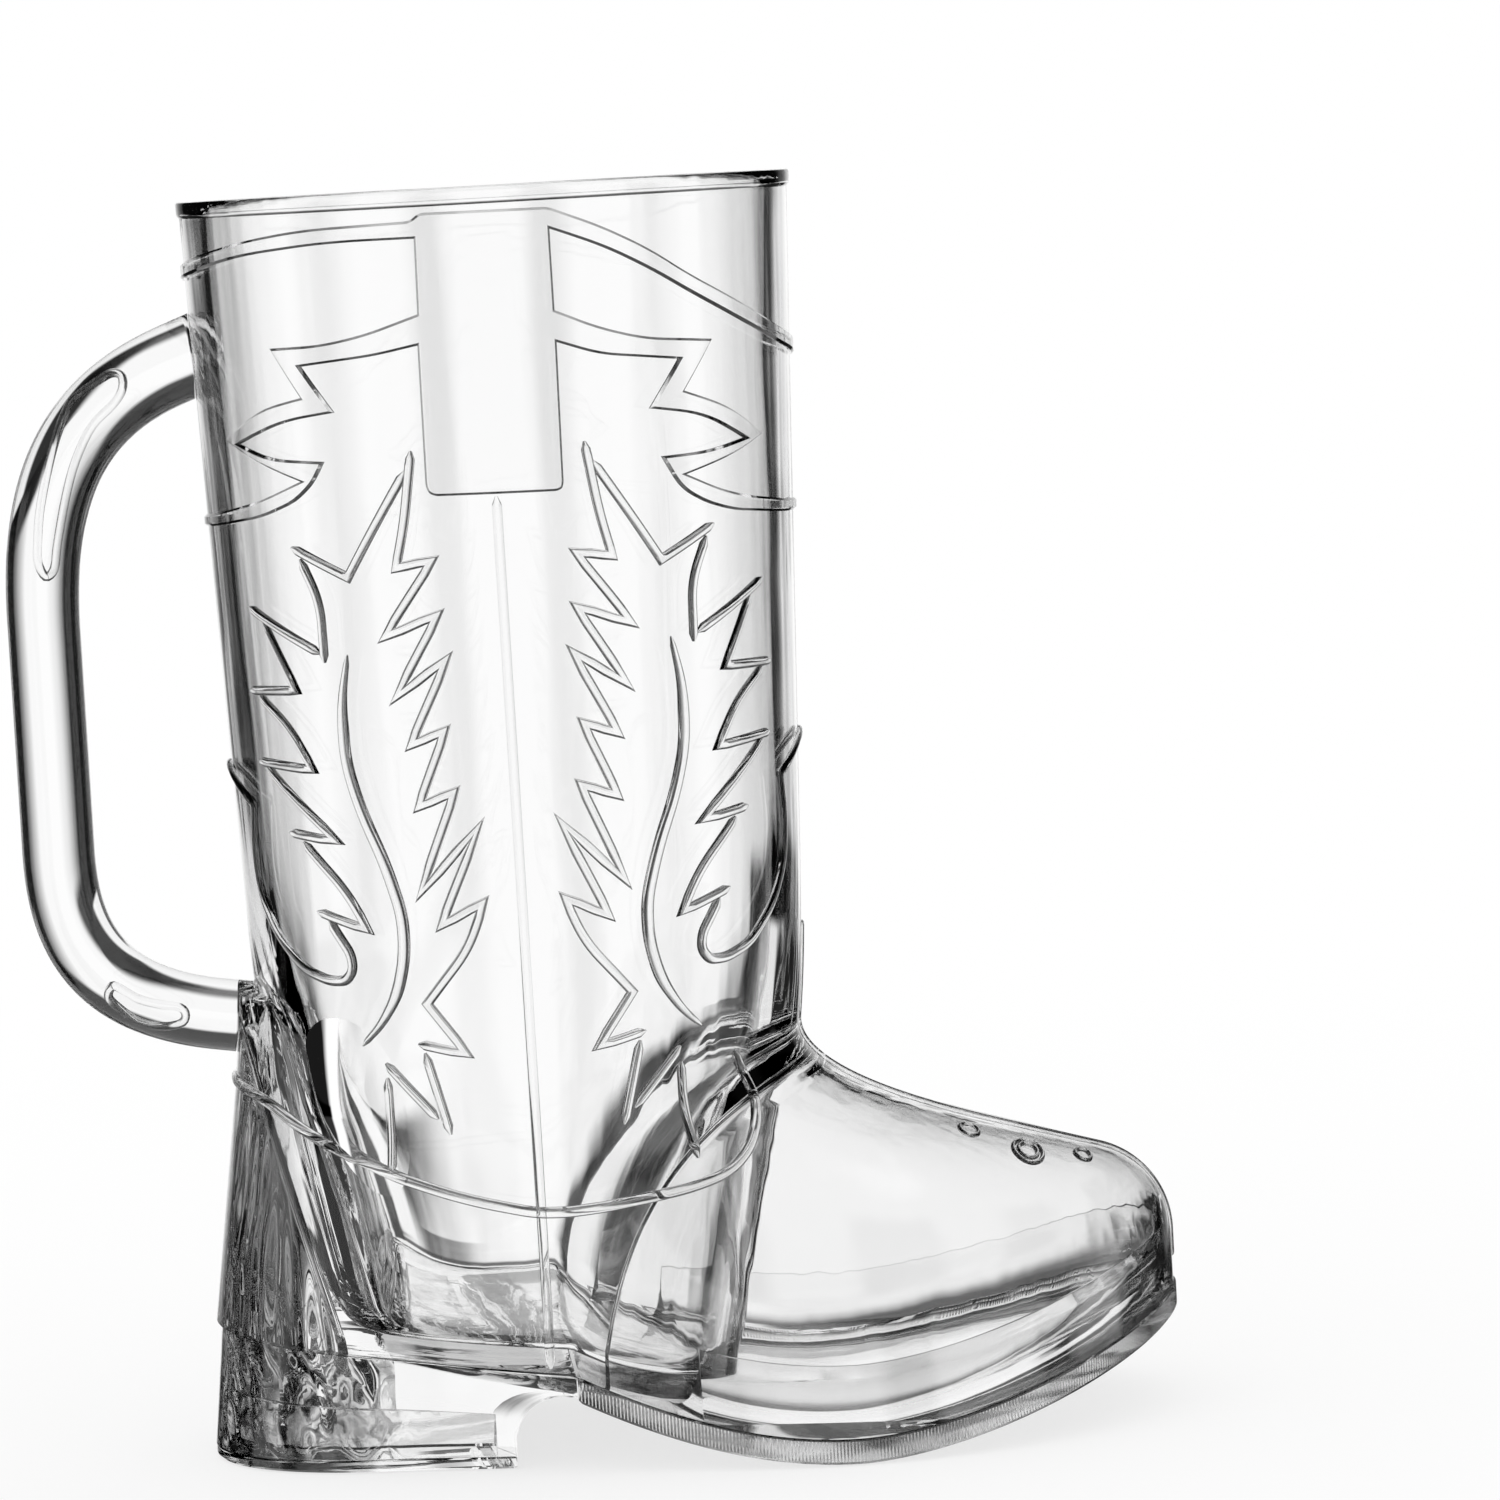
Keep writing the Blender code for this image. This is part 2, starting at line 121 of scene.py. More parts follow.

# %% Moulding marks and painted shade shared by the plastics
# Tone, edge, slant and fades of the painted shade: grey streaks painted at the counter and the heel's back.
CLEARNESS, PAINTED_SHADE_TONE = 0.985, 0.28
PAINTED_SHADE_EDGE, PAINTED_SHADE_SLANT, PAINTED_SHADE_FADE = -0.0304, 0.2, 0.003
PAINTED_SHADE_TOP_FADE = 0.01
MARK_INPUTS = (("Wave", 1.0), ("Streak", 1.0), ("Least Haze", 0.02), ("Most Haze", 0.06), ("Painted Shade Top", 0.0))


def build_marks_and_painted_shade():
    """Waves and streaks as a height, the haze of use as a roughness, and painted shade in streaks at the back
    as a colour.
    """
    group = bpy.data.node_groups.new("marks_and_painted_shade", "ShaderNodeTree")
    face = group.interface
    face.new_socket("Vector", in_out="INPUT", socket_type="NodeSocketVector")
    for name, value in MARK_INPUTS:
        face.new_socket(name, in_out="INPUT", socket_type="NodeSocketFloat").default_value = value
    for name in ("Height", "Roughness"):
        face.new_socket(name, in_out="OUTPUT", socket_type="NodeSocketFloat")
    face.new_socket("Colour", in_out="OUTPUT", socket_type="NodeSocketColor")
    nodes, link = group.nodes, group.links.new
    take, give = nodes.new("NodeGroupInput"), nodes.new("NodeGroupOutput")

    def clouds(scale, detail, stretch):
        turn = nodes.new("ShaderNodeMapping")
        turn.inputs["Scale"].default_value = stretch
        cloud = nodes.new("ShaderNodeTexNoise")
        cloud.inputs["Scale"].default_value = scale
        cloud.inputs["Detail"].default_value = detail
        link(take.outputs["Vector"], turn.inputs["Vector"])
        link(turn.outputs["Vector"], cloud.inputs["Vector"])
        return cloud.outputs["Fac"]

    wave = math_node(group, "MULTIPLY", clouds(45.0, 1.0, (1, 1, 1)), take.outputs["Wave"])
    streak = math_node(group, "MULTIPLY", clouds(150.0, 2.0, (1, 1, 0.06)), take.outputs["Streak"])
    link(math_node(group, "ADD", wave, streak), give.inputs["Height"])
    haze = nodes.new("ShaderNodeMapRange")
    haze.inputs["From Min"].default_value = 0.35
    haze.inputs["From Max"].default_value = 0.75
    link(clouds(90.0, 6.0, (1, 1, 1)), haze.inputs["Value"])
    link(take.outputs["Least Haze"], haze.inputs["To Min"])
    link(take.outputs["Most Haze"], haze.inputs["To Max"])
    link(haze.outputs["Result"], give.inputs["Roughness"])

    # Painted shade: grey streaks in the colour at the back, below a height, where bent light darkens the mug.
    split = nodes.new("ShaderNodeSeparateXYZ")
    link(take.outputs["Vector"], split.inputs["Vector"])
    slant = math_node(group, "MULTIPLY_ADD", split.outputs["Z"], PAINTED_SHADE_SLANT, split.outputs["X"])
    above_top = math_node(group, "SUBTRACT", split.outputs["Z"], take.outputs["Painted Shade Top"])
    below = fade_node(group, above_top, -PAINTED_SHADE_TOP_FADE, 0.0, 1.0, 0.0)
    behind = fade_node(group, slant, PAINTED_SHADE_EDGE - PAINTED_SHADE_FADE, PAINTED_SHADE_EDGE + PAINTED_SHADE_FADE, 1.0, 0.0)
    streaks = fade_node(group, clouds(230.0, 2.0, (1, 1, 0.05)), 0.39, 0.58, PAINTED_SHADE_TONE, CLEARNESS)
    painted_shade_colour = mix_node(group, math_node(group, "MULTIPLY", below, behind), CLEARNESS, streaks)
    link(painted_shade_colour, give.inputs["Colour"])
    return group


marks_and_painted_shade = build_marks_and_painted_shade()
print("moulding marks:", len(marks_and_painted_shade.nodes), "nodes")

# %% [markdown]
# There are three plastics in the mug. The wall of the boot is thin and carries the streaks. The handle,
# the heel and the raised ornament are polished and have only slow waves. Both carry painted shade at the
# back, the wall up to about 60 mm and the polished pieces up to about 30 mm. The sole is a little matt, so
# that its edges look soft through the toe, and it gets no painted shade, so its colour is a plain number on
# the shader.

# %% The three plastics
MARK_DEPTH = 0.0002


def build_plastic(name, painted_shade_top, wave, streak, haze):
    """A clear plastic with its share of the marks; painted shade at the back reaches the given height, None
    for none.
    """
    plastic = bpy.data.materials.new(name)
    plastic.use_nodes = True
    nodes, link = plastic.node_tree.nodes, plastic.node_tree.links.new
    shader = nodes["Principled BSDF"]
    shader.inputs["Base Color"].default_value = (CLEARNESS, CLEARNESS, CLEARNESS, 1)
    shader.inputs["Transmission Weight"].default_value = 1.0
    shader.inputs["IOR"].default_value = 1.5
    marks = nodes.new("ShaderNodeGroup")
    marks.node_tree = marks_and_painted_shade
    strengths = (("Wave", wave), ("Streak", streak), ("Least Haze", haze[0]), ("Most Haze", haze[1]))
    for socket, value in strengths:
        marks.inputs[socket].default_value = value
    place = nodes.new("ShaderNodeTexCoord")
    bump = nodes.new("ShaderNodeBump")
    bump.inputs["Strength"].default_value = 1.0
    bump.inputs["Distance"].default_value = MARK_DEPTH
    link(place.outputs["Object"], marks.inputs["Vector"])
    link(marks.outputs["Height"], bump.inputs["Height"])
    # The painted shade at the back goes into the base colour.
    if painted_shade_top is not None:
        marks.inputs["Painted Shade Top"].default_value = painted_shade_top
        link(marks.outputs["Colour"], shader.inputs["Base Color"])
    link(marks.outputs["Roughness"], shader.inputs["Roughness"])
    link(bump.outputs["Normal"], shader.inputs["Normal"])
    return plastic


# The first number is the height in metres up to which painted shade darkens the back.
wall_plastic = build_plastic("streaked_clear_plastic", 0.06, 1.0, 0.6, (0.0, 0.03))
solid_plastic = build_plastic("polished_clear_plastic", 0.03, 0.6, 0.05, (0.0, 0.02))
sole_plastic = build_plastic("matt_clear_plastic", None, 0.6, 0.05, (0.04, 0.09))
print("plastics:", ", ".join(plastic.name for plastic in (wall_plastic, solid_plastic, sole_plastic)))

# %% [markdown]
# ## The form of the boot
# A boot is two forms that melt into each other. The shaft is an oval tube that narrows a little
# downwards, and the foot is a low tunnel that widens towards the ball and slopes down to the toe. All
# sizes are in millimetres, with the shaft's axis at zero, and we scale a piece to metres when it is
# finished. The functions below are those of the solids, so that a finer mesh of them lies on the same
# surface.

# %% Sizes of the shaft and the foot
HEIGHT, RIM_LENGTH, RIM_WIDTH, SHAFT_TAPER = 155.0, 74.9, 71.0, 0.034
LIP_HEIGHT, LIP_PROUD, WALL, FLOOR = 1.8, 0.3, 3.0, 2.6
ANKLE_HEIGHT, ANKLE_SOFTNESS, WELL_SLOPE, WELL_SIDE_SLOPE = 56.0, 4.0, 0.105, 0.02
TOE_REACH, TOE_RADIUS, VAMP_TOP, VAMP_END = 78.2, 11.6, 52.0, 29.3
VAMP_SLOPE = (VAMP_TOP - VAMP_END) / TOE_REACH
HEEL_REACH, COUNTER_SLOPE, HEEL_ROUND, HEEL_SQUARENESS = 41.2, 7.0, 25.0, 2.2
BALL_X, BALL_WIDTH, HEEL_SEAT_WIDTH, FOOT_SQUARENESS = 34.0, 71.0, 53.0, 2.5
INSTEP_BLEND, SIDE_BLEND, FOOT_CEILING = 27.0, 5.0, 70
SOLE_THICKNESS, GAP, WELT = 2.8, 0.3, 0.5
HEEL_SEAT_HEIGHT, SHANK_X, SHANK_HEIGHT, CONTACT_X = 16.9, 2.9, 11.9, 36.8
TOE_LIFT, TOE_LIFT_POWER = 11.3, 1.6
AXIS_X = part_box("boot_shell")[1][0] * 1000 - TOE_REACH
print("the shaft's axis is at", round(AXIS_X, 2), "mm")

# %% The shaft's oval and the sole's line
def soft_ramp(value, softness):
    return softness * math.log1p(math.exp(value / softness))


def soft_max(a, b, width):
    near = max(width - abs(a - b), 0.0) / width
    return max(a, b) + near * near * width / 4


def shaft_radius(turn, z, inset=0.0):
    """The shaft's oval in one direction; turn is zero at the toe."""
    lean = soft_ramp(ANKLE_HEIGHT - z, ANKLE_SOFTNESS)
    taper = SHAFT_TAPER * (HEIGHT - z) + inset
    length = RIM_LENGTH / 2 - taper - WELL_SLOPE * lean
    width = RIM_WIDTH / 2 - taper - WELL_SIDE_SLOPE * lean
    return 1 / math.hypot(math.cos(turn) / length, math.sin(turn) / width)


def feather(x):
    """Height of the line where the upper meets the sole: flat at the ball, lifted at the toe and the arch."""
    ball = SOLE_THICKNESS + GAP
    if x > CONTACT_X:
        return ball + TOE_LIFT * ((x - CONTACT_X) / (TOE_REACH - CONTACT_X)) ** TOE_LIFT_POWER
    arch = ball + (SHANK_HEIGHT - ball) * ((CONTACT_X - x) / (CONTACT_X - SHANK_X)) ** 2
    seat = SHANK_HEIGHT + (HEEL_SEAT_HEIGHT - SHANK_HEIGHT) * (SHANK_X - x) / (SHANK_X + HEEL_REACH)
    return min(arch, seat)


print("the sole's line is", round(feather(TOE_REACH), 1), "mm up at the toe")

# %% The foot's tunnel
def counter_reach(z, inset):
    return HEEL_REACH - inset - max(z - HEEL_SEAT_HEIGHT, 0.0) / COUNTER_SLOPE


def plan_half_width(x, z, inset):
    heel, ball, heel_x = HEEL_SEAT_WIDTH / 2 - inset, BALL_WIDTH / 2 - inset, HEEL_ROUND - HEEL_REACH
    if x < heel_x:
        back = min((heel_x - x) / (counter_reach(z, inset) + heel_x), 1.0)
        return heel * (1 - back**HEEL_SQUARENESS) ** (1 / HEEL_SQUARENESS)
    if x > BALL_X:
        front = min((x - BALL_X) / (TOE_REACH - inset - BALL_X), 1.0)
        return ball * math.sqrt(1 - front * front)
    along = (x - heel_x) / (BALL_X - heel_x)
    return heel + (ball - heel) * along * along * (3 - 2 * along)


def ridge_height(x, inset):
    """The vamp's top line: a straight slope, then the round of the toe."""
    slant = math.hypot(1, VAMP_SLOPE)
    toe_x, tip = TOE_REACH - TOE_RADIUS, TOE_RADIUS - inset
    toe_z = VAMP_TOP - VAMP_SLOPE * toe_x - TOE_RADIUS * slant
    if x >= toe_x + tip * VAMP_SLOPE / slant:
        return toe_z + math.sqrt(max(tip * tip - (x - toe_x) ** 2, 0.0))
    return VAMP_TOP - VAMP_SLOPE * x - inset * slant


def foot_half_width(x, z, inset, ridge_inset):
    top, bottom = ridge_height(x, ridge_inset), feather(x)
    if z >= top or x > TOE_REACH - inset or x < -counter_reach(z, inset):
        return -1.0
    up = max(z - bottom, 0.0) / max(top - bottom, 1e-6)
    return plan_half_width(x, z, inset) * (1 - up**FOOT_SQUARENESS) ** (1 / FOOT_SQUARENESS)


def foot_radius(turn, z, inset, ridge_inset):
    if z > FOOT_CEILING:
        return 0.0
    inside, outside = 0.0, 2 * TOE_REACH
    for _ in range(34):
        middle = (inside + outside) / 2
        if foot_half_width(middle * math.cos(turn), z, inset, ridge_inset) >= abs(middle * math.sin(turn)):
            inside = middle
        else:
            outside = middle
    return inside


print("the foot is", round(2 * plan_half_width(BALL_X, 5, 0), 1), "mm wide at the ball")

# %% The boot's skin
def outer_radius(turn, z, inset=0.0, ridge_inset=0.0):
    """The outside of the boot: shaft and foot melted together, softest over the instep."""
    ahead = max(math.cos(turn), 0.0) ** 2
    blend = SIDE_BLEND + (INSTEP_BLEND - SIDE_BLEND) * ahead
    return soft_max(shaft_radius(turn, z, inset), foot_radius(turn, z, inset, ridge_inset), blend)


def polar(turn, radius, z):
    return Vector((radius * math.cos(turn), radius * math.sin(turn), z))


def skin(turn, z):
    """A place on the skin and the direction that stands out from it."""
    step, rise = 0.012, 0.4
    here = polar(turn, outer_radius(turn, z), z)
    along = [polar(near, outer_radius(near, z), z) for near in (turn - step, turn + step)]
    up = [polar(turn, outer_radius(turn, near), near) for near in (z - rise, z + rise)]
    return here, (along[1] - along[0]).cross(up[1] - up[0]).normalized()


def edge_height(radius_of, turn):
    """Where a wall in one direction meets the sole's line."""
    z = SHANK_HEIGHT
    for _ in range(8):
        z = feather(radius_of(turn, z) * math.cos(turn))
    return z


print("skin at the toe:", [round(v, 1) for v in skin(0.0, 25.0)[0]])

# %% [markdown]
# ## Walls that are carried along
# Most pieces here are walls that close on themselves: up the outside, over the rim and down the inside.
# We could cut such a hollow with Booleans, but clear plastic shows every sliver that they leave. So each
# wall starts as a circle, which is extruded ring after ring, and each new ring is moved to its place on
# the form. The operator makes the faces, and only the places come from the boot's own functions.

# %% Carry a row of vertices along
def first_row(shape, places, closed=True):
    """Start with a row of vertices and the edges between them."""
    row = [shape.verts.new(place) for place in places]
    onward = row[1:] + row[:1] if closed else row[1:]
    return row, [shape.edges.new(pair) for pair in zip(row, onward)]


def next_row(shape, row, edges, places):
    """Extrude a row of edges and move the new row to its places."""
    made = bmesh.ops.extrude_edge_only(shape, edges=edges)["geom"]
    fresh = {part for part in made if isinstance(part, bmesh.types.BMVert)}
    row = [next(e.other_vert(v) for e in v.link_edges if e.other_vert(v) in fresh) for v in row]
    for vertex, place in zip(row, places):
        vertex.co = place
    edges = [part for part in made if isinstance(part, bmesh.types.BMEdge) and fresh.issuperset(part.verts)]
    return row, edges


def carried_wall(shape, rings, first_pole=False, last_pole=False):
    """A wall through closed rings; a pole draws an end ring together into one point."""
    row = bmesh.ops.create_circle(shape, segments=len(rings[0]), radius=1.0)["verts"]
    edges = list({edge for vertex in row for edge in vertex.link_edges})
    for vertex, place in zip(row, rings[0]):
        vertex.co = place
    start = row
    for ring in rings[1:]:
        row, edges = next_row(shape, row, edges, ring)
    for pole, ends in ((first_pole, start), (last_pole, row)):
        if pole:
            middle = sum((v.co for v in ends), Vector()) / len(ends)
            bmesh.ops.pointmerge(shape, verts=ends, merge_co=middle)


print("walls are carried ring by ring")

# %% [markdown]
# A finished piece has its place in its mesh, its faces point outwards, and real creases stay sharp while
# the rest is shaded smooth. One helper does this for every piece and hands it to the frame.

# %% Finish a piece
def finish_piece(shape, name, material, node=None, crease=38):
    """Turn a shape in millimetres into a piece in the frame; node is the solid that it replaces."""
    bmesh.ops.recalc_face_normals(shape, faces=shape.faces)
    bmesh.ops.translate(shape, verts=shape.verts, vec=(AXIS_X, 0, 0))
    bmesh.ops.scale(shape, verts=shape.verts, vec=(0.001, 0.001, 0.001))
    open_edges = sum(len(edge.link_faces) != 2 for edge in shape.edges)
    mesh = bpy.data.meshes.new(name)
    shape.to_mesh(mesh)
    shape.free()
    mesh.shade_smooth()
    mesh.set_sharp_from_angle(angle=math.radians(crease))
    mesh.materials.append(material)
    piece = bpy.data.objects.new(name, mesh)
    scene.collection.objects.link(piece)
    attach(piece, "root")
    if node:
        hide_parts(node)
    print(f"{name}: {sum(len(p.vertices) - 2 for p in mesh.polygons)} triangles, {open_edges} open edges")


# %% [markdown]
# ## The boot shell
# The upper is one moulding. Outside it is the boot, and inside it is a plain tube that holds the drink,
# which goes straight down past the ankle, so the toe and the heel counter are hollow pockets, open from
# below. Clear plastic shows all of this, so we model it all. The outer wall rises from the sole's line,
# the lip turns over, the well goes down to a rounded floor, and the floor closes in one point.

# %% Outer wall, lip and well
TURNS = 256
steps = [2 * math.pi * i / TURNS for i in range(TURNS)]
turns = [step - 0.35 * math.sin(step) for step in steps]
lip = HEIGHT - LIP_HEIGHT
edges_z = [edge_height(outer_radius, turn) for turn in turns]

rings = []
for step in range(92):
    heights = [z + (60 - z) * step / 92 for z in edges_z]
    rings.append([polar(t, outer_radius(t, z), z) for t, z in zip(turns, heights)])
for step in range(41):
    z = 60 + (lip - 0.35 - 60) * step / 40
    rings.append([polar(t, outer_radius(t, z), z) for t in turns])
for out, z in ((0.0, lip - 0.2), (0.02, lip - 0.18), (LIP_PROUD - 0.02, lip + 0.14), (LIP_PROUD, lip + 0.18),
               (LIP_PROUD, HEIGHT - 0.25), (LIP_PROUD - 0.08, HEIGHT - 0.07), (0.05, HEIGHT),
               (-WALL + 0.9, HEIGHT), (-WALL + 0.3, HEIGHT - 0.1), (-WALL, HEIGHT - 0.9)):
    rings.append([polar(t, shaft_radius(t, z, -out), z) for t in turns])
print("outer wall:", len(rings), "rings of", TURNS)

# %% The well's wall and floor
FILLET = 1.6
WELL_BEND, WELL_SOFTNESS = 60.0, 5.0
FRONT_LEAN, BACK_LEAN, SIDE_LEAN, BACK_SQUARE = 0.17, 0.15, 0.04, 2.5


def well_radius(turn, z, inset=WALL):
    """The well's oval: straight in the shaft, drawn in below the ankle. With no inset it is its jacket."""
    lean = soft_ramp(WELL_BEND - z, WELL_SOFTNESS)
    taper = SHAFT_TAPER * (HEIGHT - z) + inset
    length = RIM_LENGTH / 2 - taper - lean * (FRONT_LEAN if math.cos(turn) > 0 else BACK_LEAN)
    width = RIM_WIDTH / 2 - taper - lean * SIDE_LEAN
    power = 2.0 if math.cos(turn) > 0 else 2.0 + BACK_SQUARE * min(lean / 16, 1.0)
    return (abs(math.cos(turn) / length) ** power + abs(math.sin(turn) / width) ** power) ** (-1 / power)


def jacket_radius(turn, z):
    return well_radius(turn, z, 0.0)


floor_z = [edge_height(well_radius, turn) + FLOOR for turn in turns]
for step in range(1, 71):
    heights = [HEIGHT - 0.5 + (z + FILLET - HEIGHT + 0.5) * step / 70 for z in floor_z]
    rings.append([polar(t, well_radius(t, z), z) for t, z in zip(turns, heights)])
for step in range(1, 9):
    bend = math.pi / 2 * step / 8
    inset, rise = FILLET * (1 - math.cos(bend)), FILLET * (1 - math.sin(bend))
    rings.append([polar(t, well_radius(t, z) - inset, z + rise) for t, z in zip(turns, floor_z)])
for share in (0.93, 0.8, 0.65, 0.5, 0.35, 0.2, 0.08):
    ring = [polar(t, (well_radius(t, z) - FILLET) * share, 0) for t, z in zip(turns, floor_z)]
    rings.append([Vector((p.x, p.y, feather(p.x) + FLOOR)) for p in ring])
shell = bmesh.new()
carried_wall(shell, rings, last_pole=True)
print("shell so far:", len(shell.faces), "faces")

# %% [markdown]
# The two pockets are the space between the boot's outer wall and the jacket round the well. Seen from the
# side each is a tall arch. We draw one arch as an open line of vertices, extrude it from direction to
# direction round the pocket, and close the two ends. The toe's wall is even, but the counter's wall is
# uneven inside, in long upright folds, and a noise gives it those. At last the underside is filled
# between the outer edge and the pockets.

# %% Toe pocket and counter pocket
POCKET_NARROWS, POCKET_WALL, RIDGE_WALL = 1.5, 2.0, 1.2
CRUMPLE, FOLD_SIZE, FOLD_STRETCH = 1.6, 1.8, 16.0
TOE_COLUMNS, COUNTER_COLUMNS = 96, 200


def crumpled(place, size, stretch):
    """Uneven ground for the counter and the heel, stretched upright."""
    return noise.noise(Vector((place.x / size, place.y / size, place.z / (size * stretch))))


def pocket_wall(turn, z):
    radius = outer_radius(turn, z, POCKET_WALL, RIDGE_WALL)
    if math.cos(turn) > 0:
        return radius
    room = radius - jacket_radius(turn, z) - POCKET_NARROWS
    deep = CRUMPLE * min(1.0, max(room, 0.0) / 3)
    return radius + deep * crumpled(polar(turn, radius, z), FOLD_SIZE, FOLD_STRETCH)


def pocket_gap(turn, z):
    return pocket_wall(turn, z) - jacket_radius(turn, z)


def pocket_line(turn):
    """One arch: up the outer wall, over the top and down the jacket."""
    foot, jacket = edge_height(pocket_wall, turn), edge_height(jacket_radius, turn)
    low, high, narrow = min(foot, jacket), VAMP_TOP + 4, POCKET_NARROWS + 3 * max(math.cos(turn), 0.0) ** 4
    for _ in range(24):
        top = (low + high) / 2
        low, high = (top, high) if pocket_gap(turn, top) > narrow else (low, top)
    rising = [foot + (top - foot) * k / 44 for k in range(45)]
    falling = [top + (jacket - top) * k / 24 for k in range(25)]
    line = [polar(turn, pocket_wall(turn, z), z) for z in rising]
    half = pocket_gap(turn, top) / 2
    for k in range(1, 6):
        bend = math.pi * k / 6
        radius = jacket_radius(turn, top) + half + half * math.cos(bend)
        line.append(polar(turn, radius, top + half * math.sin(bend)))
    return line + [polar(turn, jacket_radius(turn, z), z) for z in falling]


def pocket(shape, middle, columns):
    """Extrude the arch round the jacket, from one end of the pocket to the other."""
    near, far = 0.0, 1.9
    for _ in range(24):
        reach = (near + far) / 2
        turn = middle + reach
        open_here = pocket_gap(turn, edge_height(pocket_wall, turn)) > POCKET_NARROWS + 0.3
        near, far = (reach, far) if open_here else (near, reach)
    lines = [pocket_line(middle + near * (2 * k / columns - 1)) for k in range(columns + 1)]
    row, edges = first_row(shape, lines[0], closed=False)
    ends = [row]
    for line in lines[1:]:
        row, edges = next_row(shape, row, edges, line)
    ends.append(row)
    for end in ends:
        bmesh.ops.contextual_create(shape, geom=end)
    return math.degrees(near)


print("toe pocket reaches", round(pocket(shell, 0.0, TOE_COLUMNS)), "degrees to each side")
print("counter pocket reaches", round(pocket(shell, math.pi, COUNTER_COLUMNS)), "degrees to each side")

# %% Underside and finish
rims = [edge for edge in shell.edges if edge.is_boundary]
bmesh.ops.triangle_fill(shell, use_beauty=True, use_dissolve=False, edges=rims, normal=(0, 0, -1))
finish_piece(shell, "clear_boot_shell", wall_plastic, "boot_shell")

# %% [markdown]
# ## The sole
# The sole is a thin plate under the toe and the arch. Its edge is cut with fine upright ribs, as a welted
# leather sole is stitched. We could leave the ribs to a bump, but they catch the light along the whole
# edge, so they are real: the outline is walked round in steps of half a rib, and every second step stands
# out a little.

# %% The sole's ribbed outline
SEAM, BOND = 0.12, -0.05
RIB_PITCH, RIB_DEPTH = 0.42, 0.1
SOLE_END = SHANK_X + SEAM


def edge_radius(turn):
    return outer_radius(turn, edge_height(outer_radius, turn))


def even_steps(line, count):
    """Walk a line of points in equal steps."""
    lengths = [0.0]
    for a, b in zip(line, line[1:]):
        lengths.append(lengths[-1] + (b - a).length)
    walked, k = [], 0
    for step in range(count + 1):
        want = lengths[-1] * step / count
        while k < len(line) - 2 and lengths[k + 1] < want:
            k += 1
        share = (want - lengths[k]) / max(lengths[k + 1] - lengths[k], 1e-9)
        walked.append(line[k].lerp(line[k + 1], min(share, 1.0)))
    return walked


def crossing(line, x):
    """Keep the part of an outline ahead of a cut across the boot, with its two ends on the cut."""
    kept = [p for p in line if p.x > x]
    first, last = line.index(kept[0]), line.index(kept[-1])
    for end, outside in ((0, line[first - 1]), (len(kept), line[last + 1])):
        inside = kept[0] if end == 0 else kept[-1]
        kept.insert(end, inside.lerp(outside, (inside.x - x) / (inside.x - outside.x)))
    return kept


seat_turns = [math.pi * (k / 300 - 1) for k in range(601)]
feather_line = [polar(t, edge_radius(t), 0) for t in seat_turns]
welt_line = [p + p.normalized() * (WELT - 0.2) for p in feather_line]
sole_line = crossing(welt_line, SOLE_END)
ribs = round(sum((b - a).length for a, b in zip(sole_line, sole_line[1:])) / RIB_PITCH)
sole_edge = even_steps(sole_line, 2 * ribs)
back_edge = even_steps([sole_edge[-1], sole_edge[0]], 12)[1:-1]
print(ribs, "ribs round the sole")

# %% The sole plate
sole_outline = sole_edge + back_edge
sole_middle = Vector((38, 0, 0))


def sole_ring(share, rise, ribbed=False):
    """The outline drawn in towards the middle, laid on the sole's underside or raised from it."""
    ring = []
    for k, place in enumerate(sole_outline):
        place = sole_middle + (place - sole_middle) * share
        if ribbed and k < len(sole_edge) and k % 2:
            place = place - (place - sole_middle).normalized() * RIB_DEPTH
        ring.append(Vector((place.x, place.y, feather(place.x) - GAP - SOLE_THICKNESS + rise)))
    return ring


top = SOLE_THICKNESS + GAP - BOND
rings = [sole_ring(share, 0) for share in (0.04, 0.25, 0.5, 0.75, 0.93, 0.988)]
rings += [sole_ring(1, 0.35, True), sole_ring(1, top - 0.35, True)]
rings += [sole_ring(share, top) for share in (0.988, 0.93, 0.75, 0.5, 0.25, 0.04)]
sole = bmesh.new()
carried_wall(sole, rings, first_pole=True, last_pole=True)
print("sole plate:", len(sole.faces), "faces")

# %% [markdown]
# Inside the toe the sole has a low rim that finds its place in the pocket, and runs out in a hollow curve
# on the sole. A sharp step would show as a hard line through the clear toe, so the section has the curve:
# a few vertices, extruded along the pocket's inside.

# %% The sole's locating rim
RIM_TURN = 1.05
RIM_SECTION = ((-0.1, -0.2), (-0.1, 8.6), (0.03, 8.4), (0.2, 7.0), (0.6, 5.5), (1.2, 4.2), (2.0, 3.0),
               (3.0, 1.95), (4.2, 1.15), (5.6, 0.55), (7.2, 0.15), (8.6, 0.0), (8.9, -0.2))
rim_turns = [RIM_TURN * (k / 60 - 1) for k in range(121)]


def rim_section(turn):
    low, places = edge_height(pocket_wall, turn), []
    for into, up in RIM_SECTION:
        z = low + up
        for _ in range(3):
            radius = pocket_wall(turn, max(z, low)) - into
            z = feather(radius * math.cos(turn)) + up
        places.append(polar(turn, radius, z))
    return places


row, edges = first_row(sole, rim_section(rim_turns[0]))
for turn in rim_turns[1:]:
    row, edges = next_row(sole, row, edges, rim_section(turn))
bmesh.ops.holes_fill(sole, edges=[edge for edge in sole.edges if edge.is_boundary], sides=0)
finish_piece(sole, "clear_sole", sole_plastic, "sole_plate", crease=30)

# %% [markdown]
# ## The heel and its cap
# The heel is a hollow block with a D outline. Its front, which a bootmaker calls the breast, is hollowed
# in a quarter round and ends in a short shelf under the arch. Each ring of the wall is the seat's
# outline, cut off at the breast at that height, and the ring goes up outside, over the top and down
# inside. The hollow is stepped: above, it ends well behind the breast, and below, it reaches forward to
# the breast's wall. At the back its wall is uneven, as the counter's is.

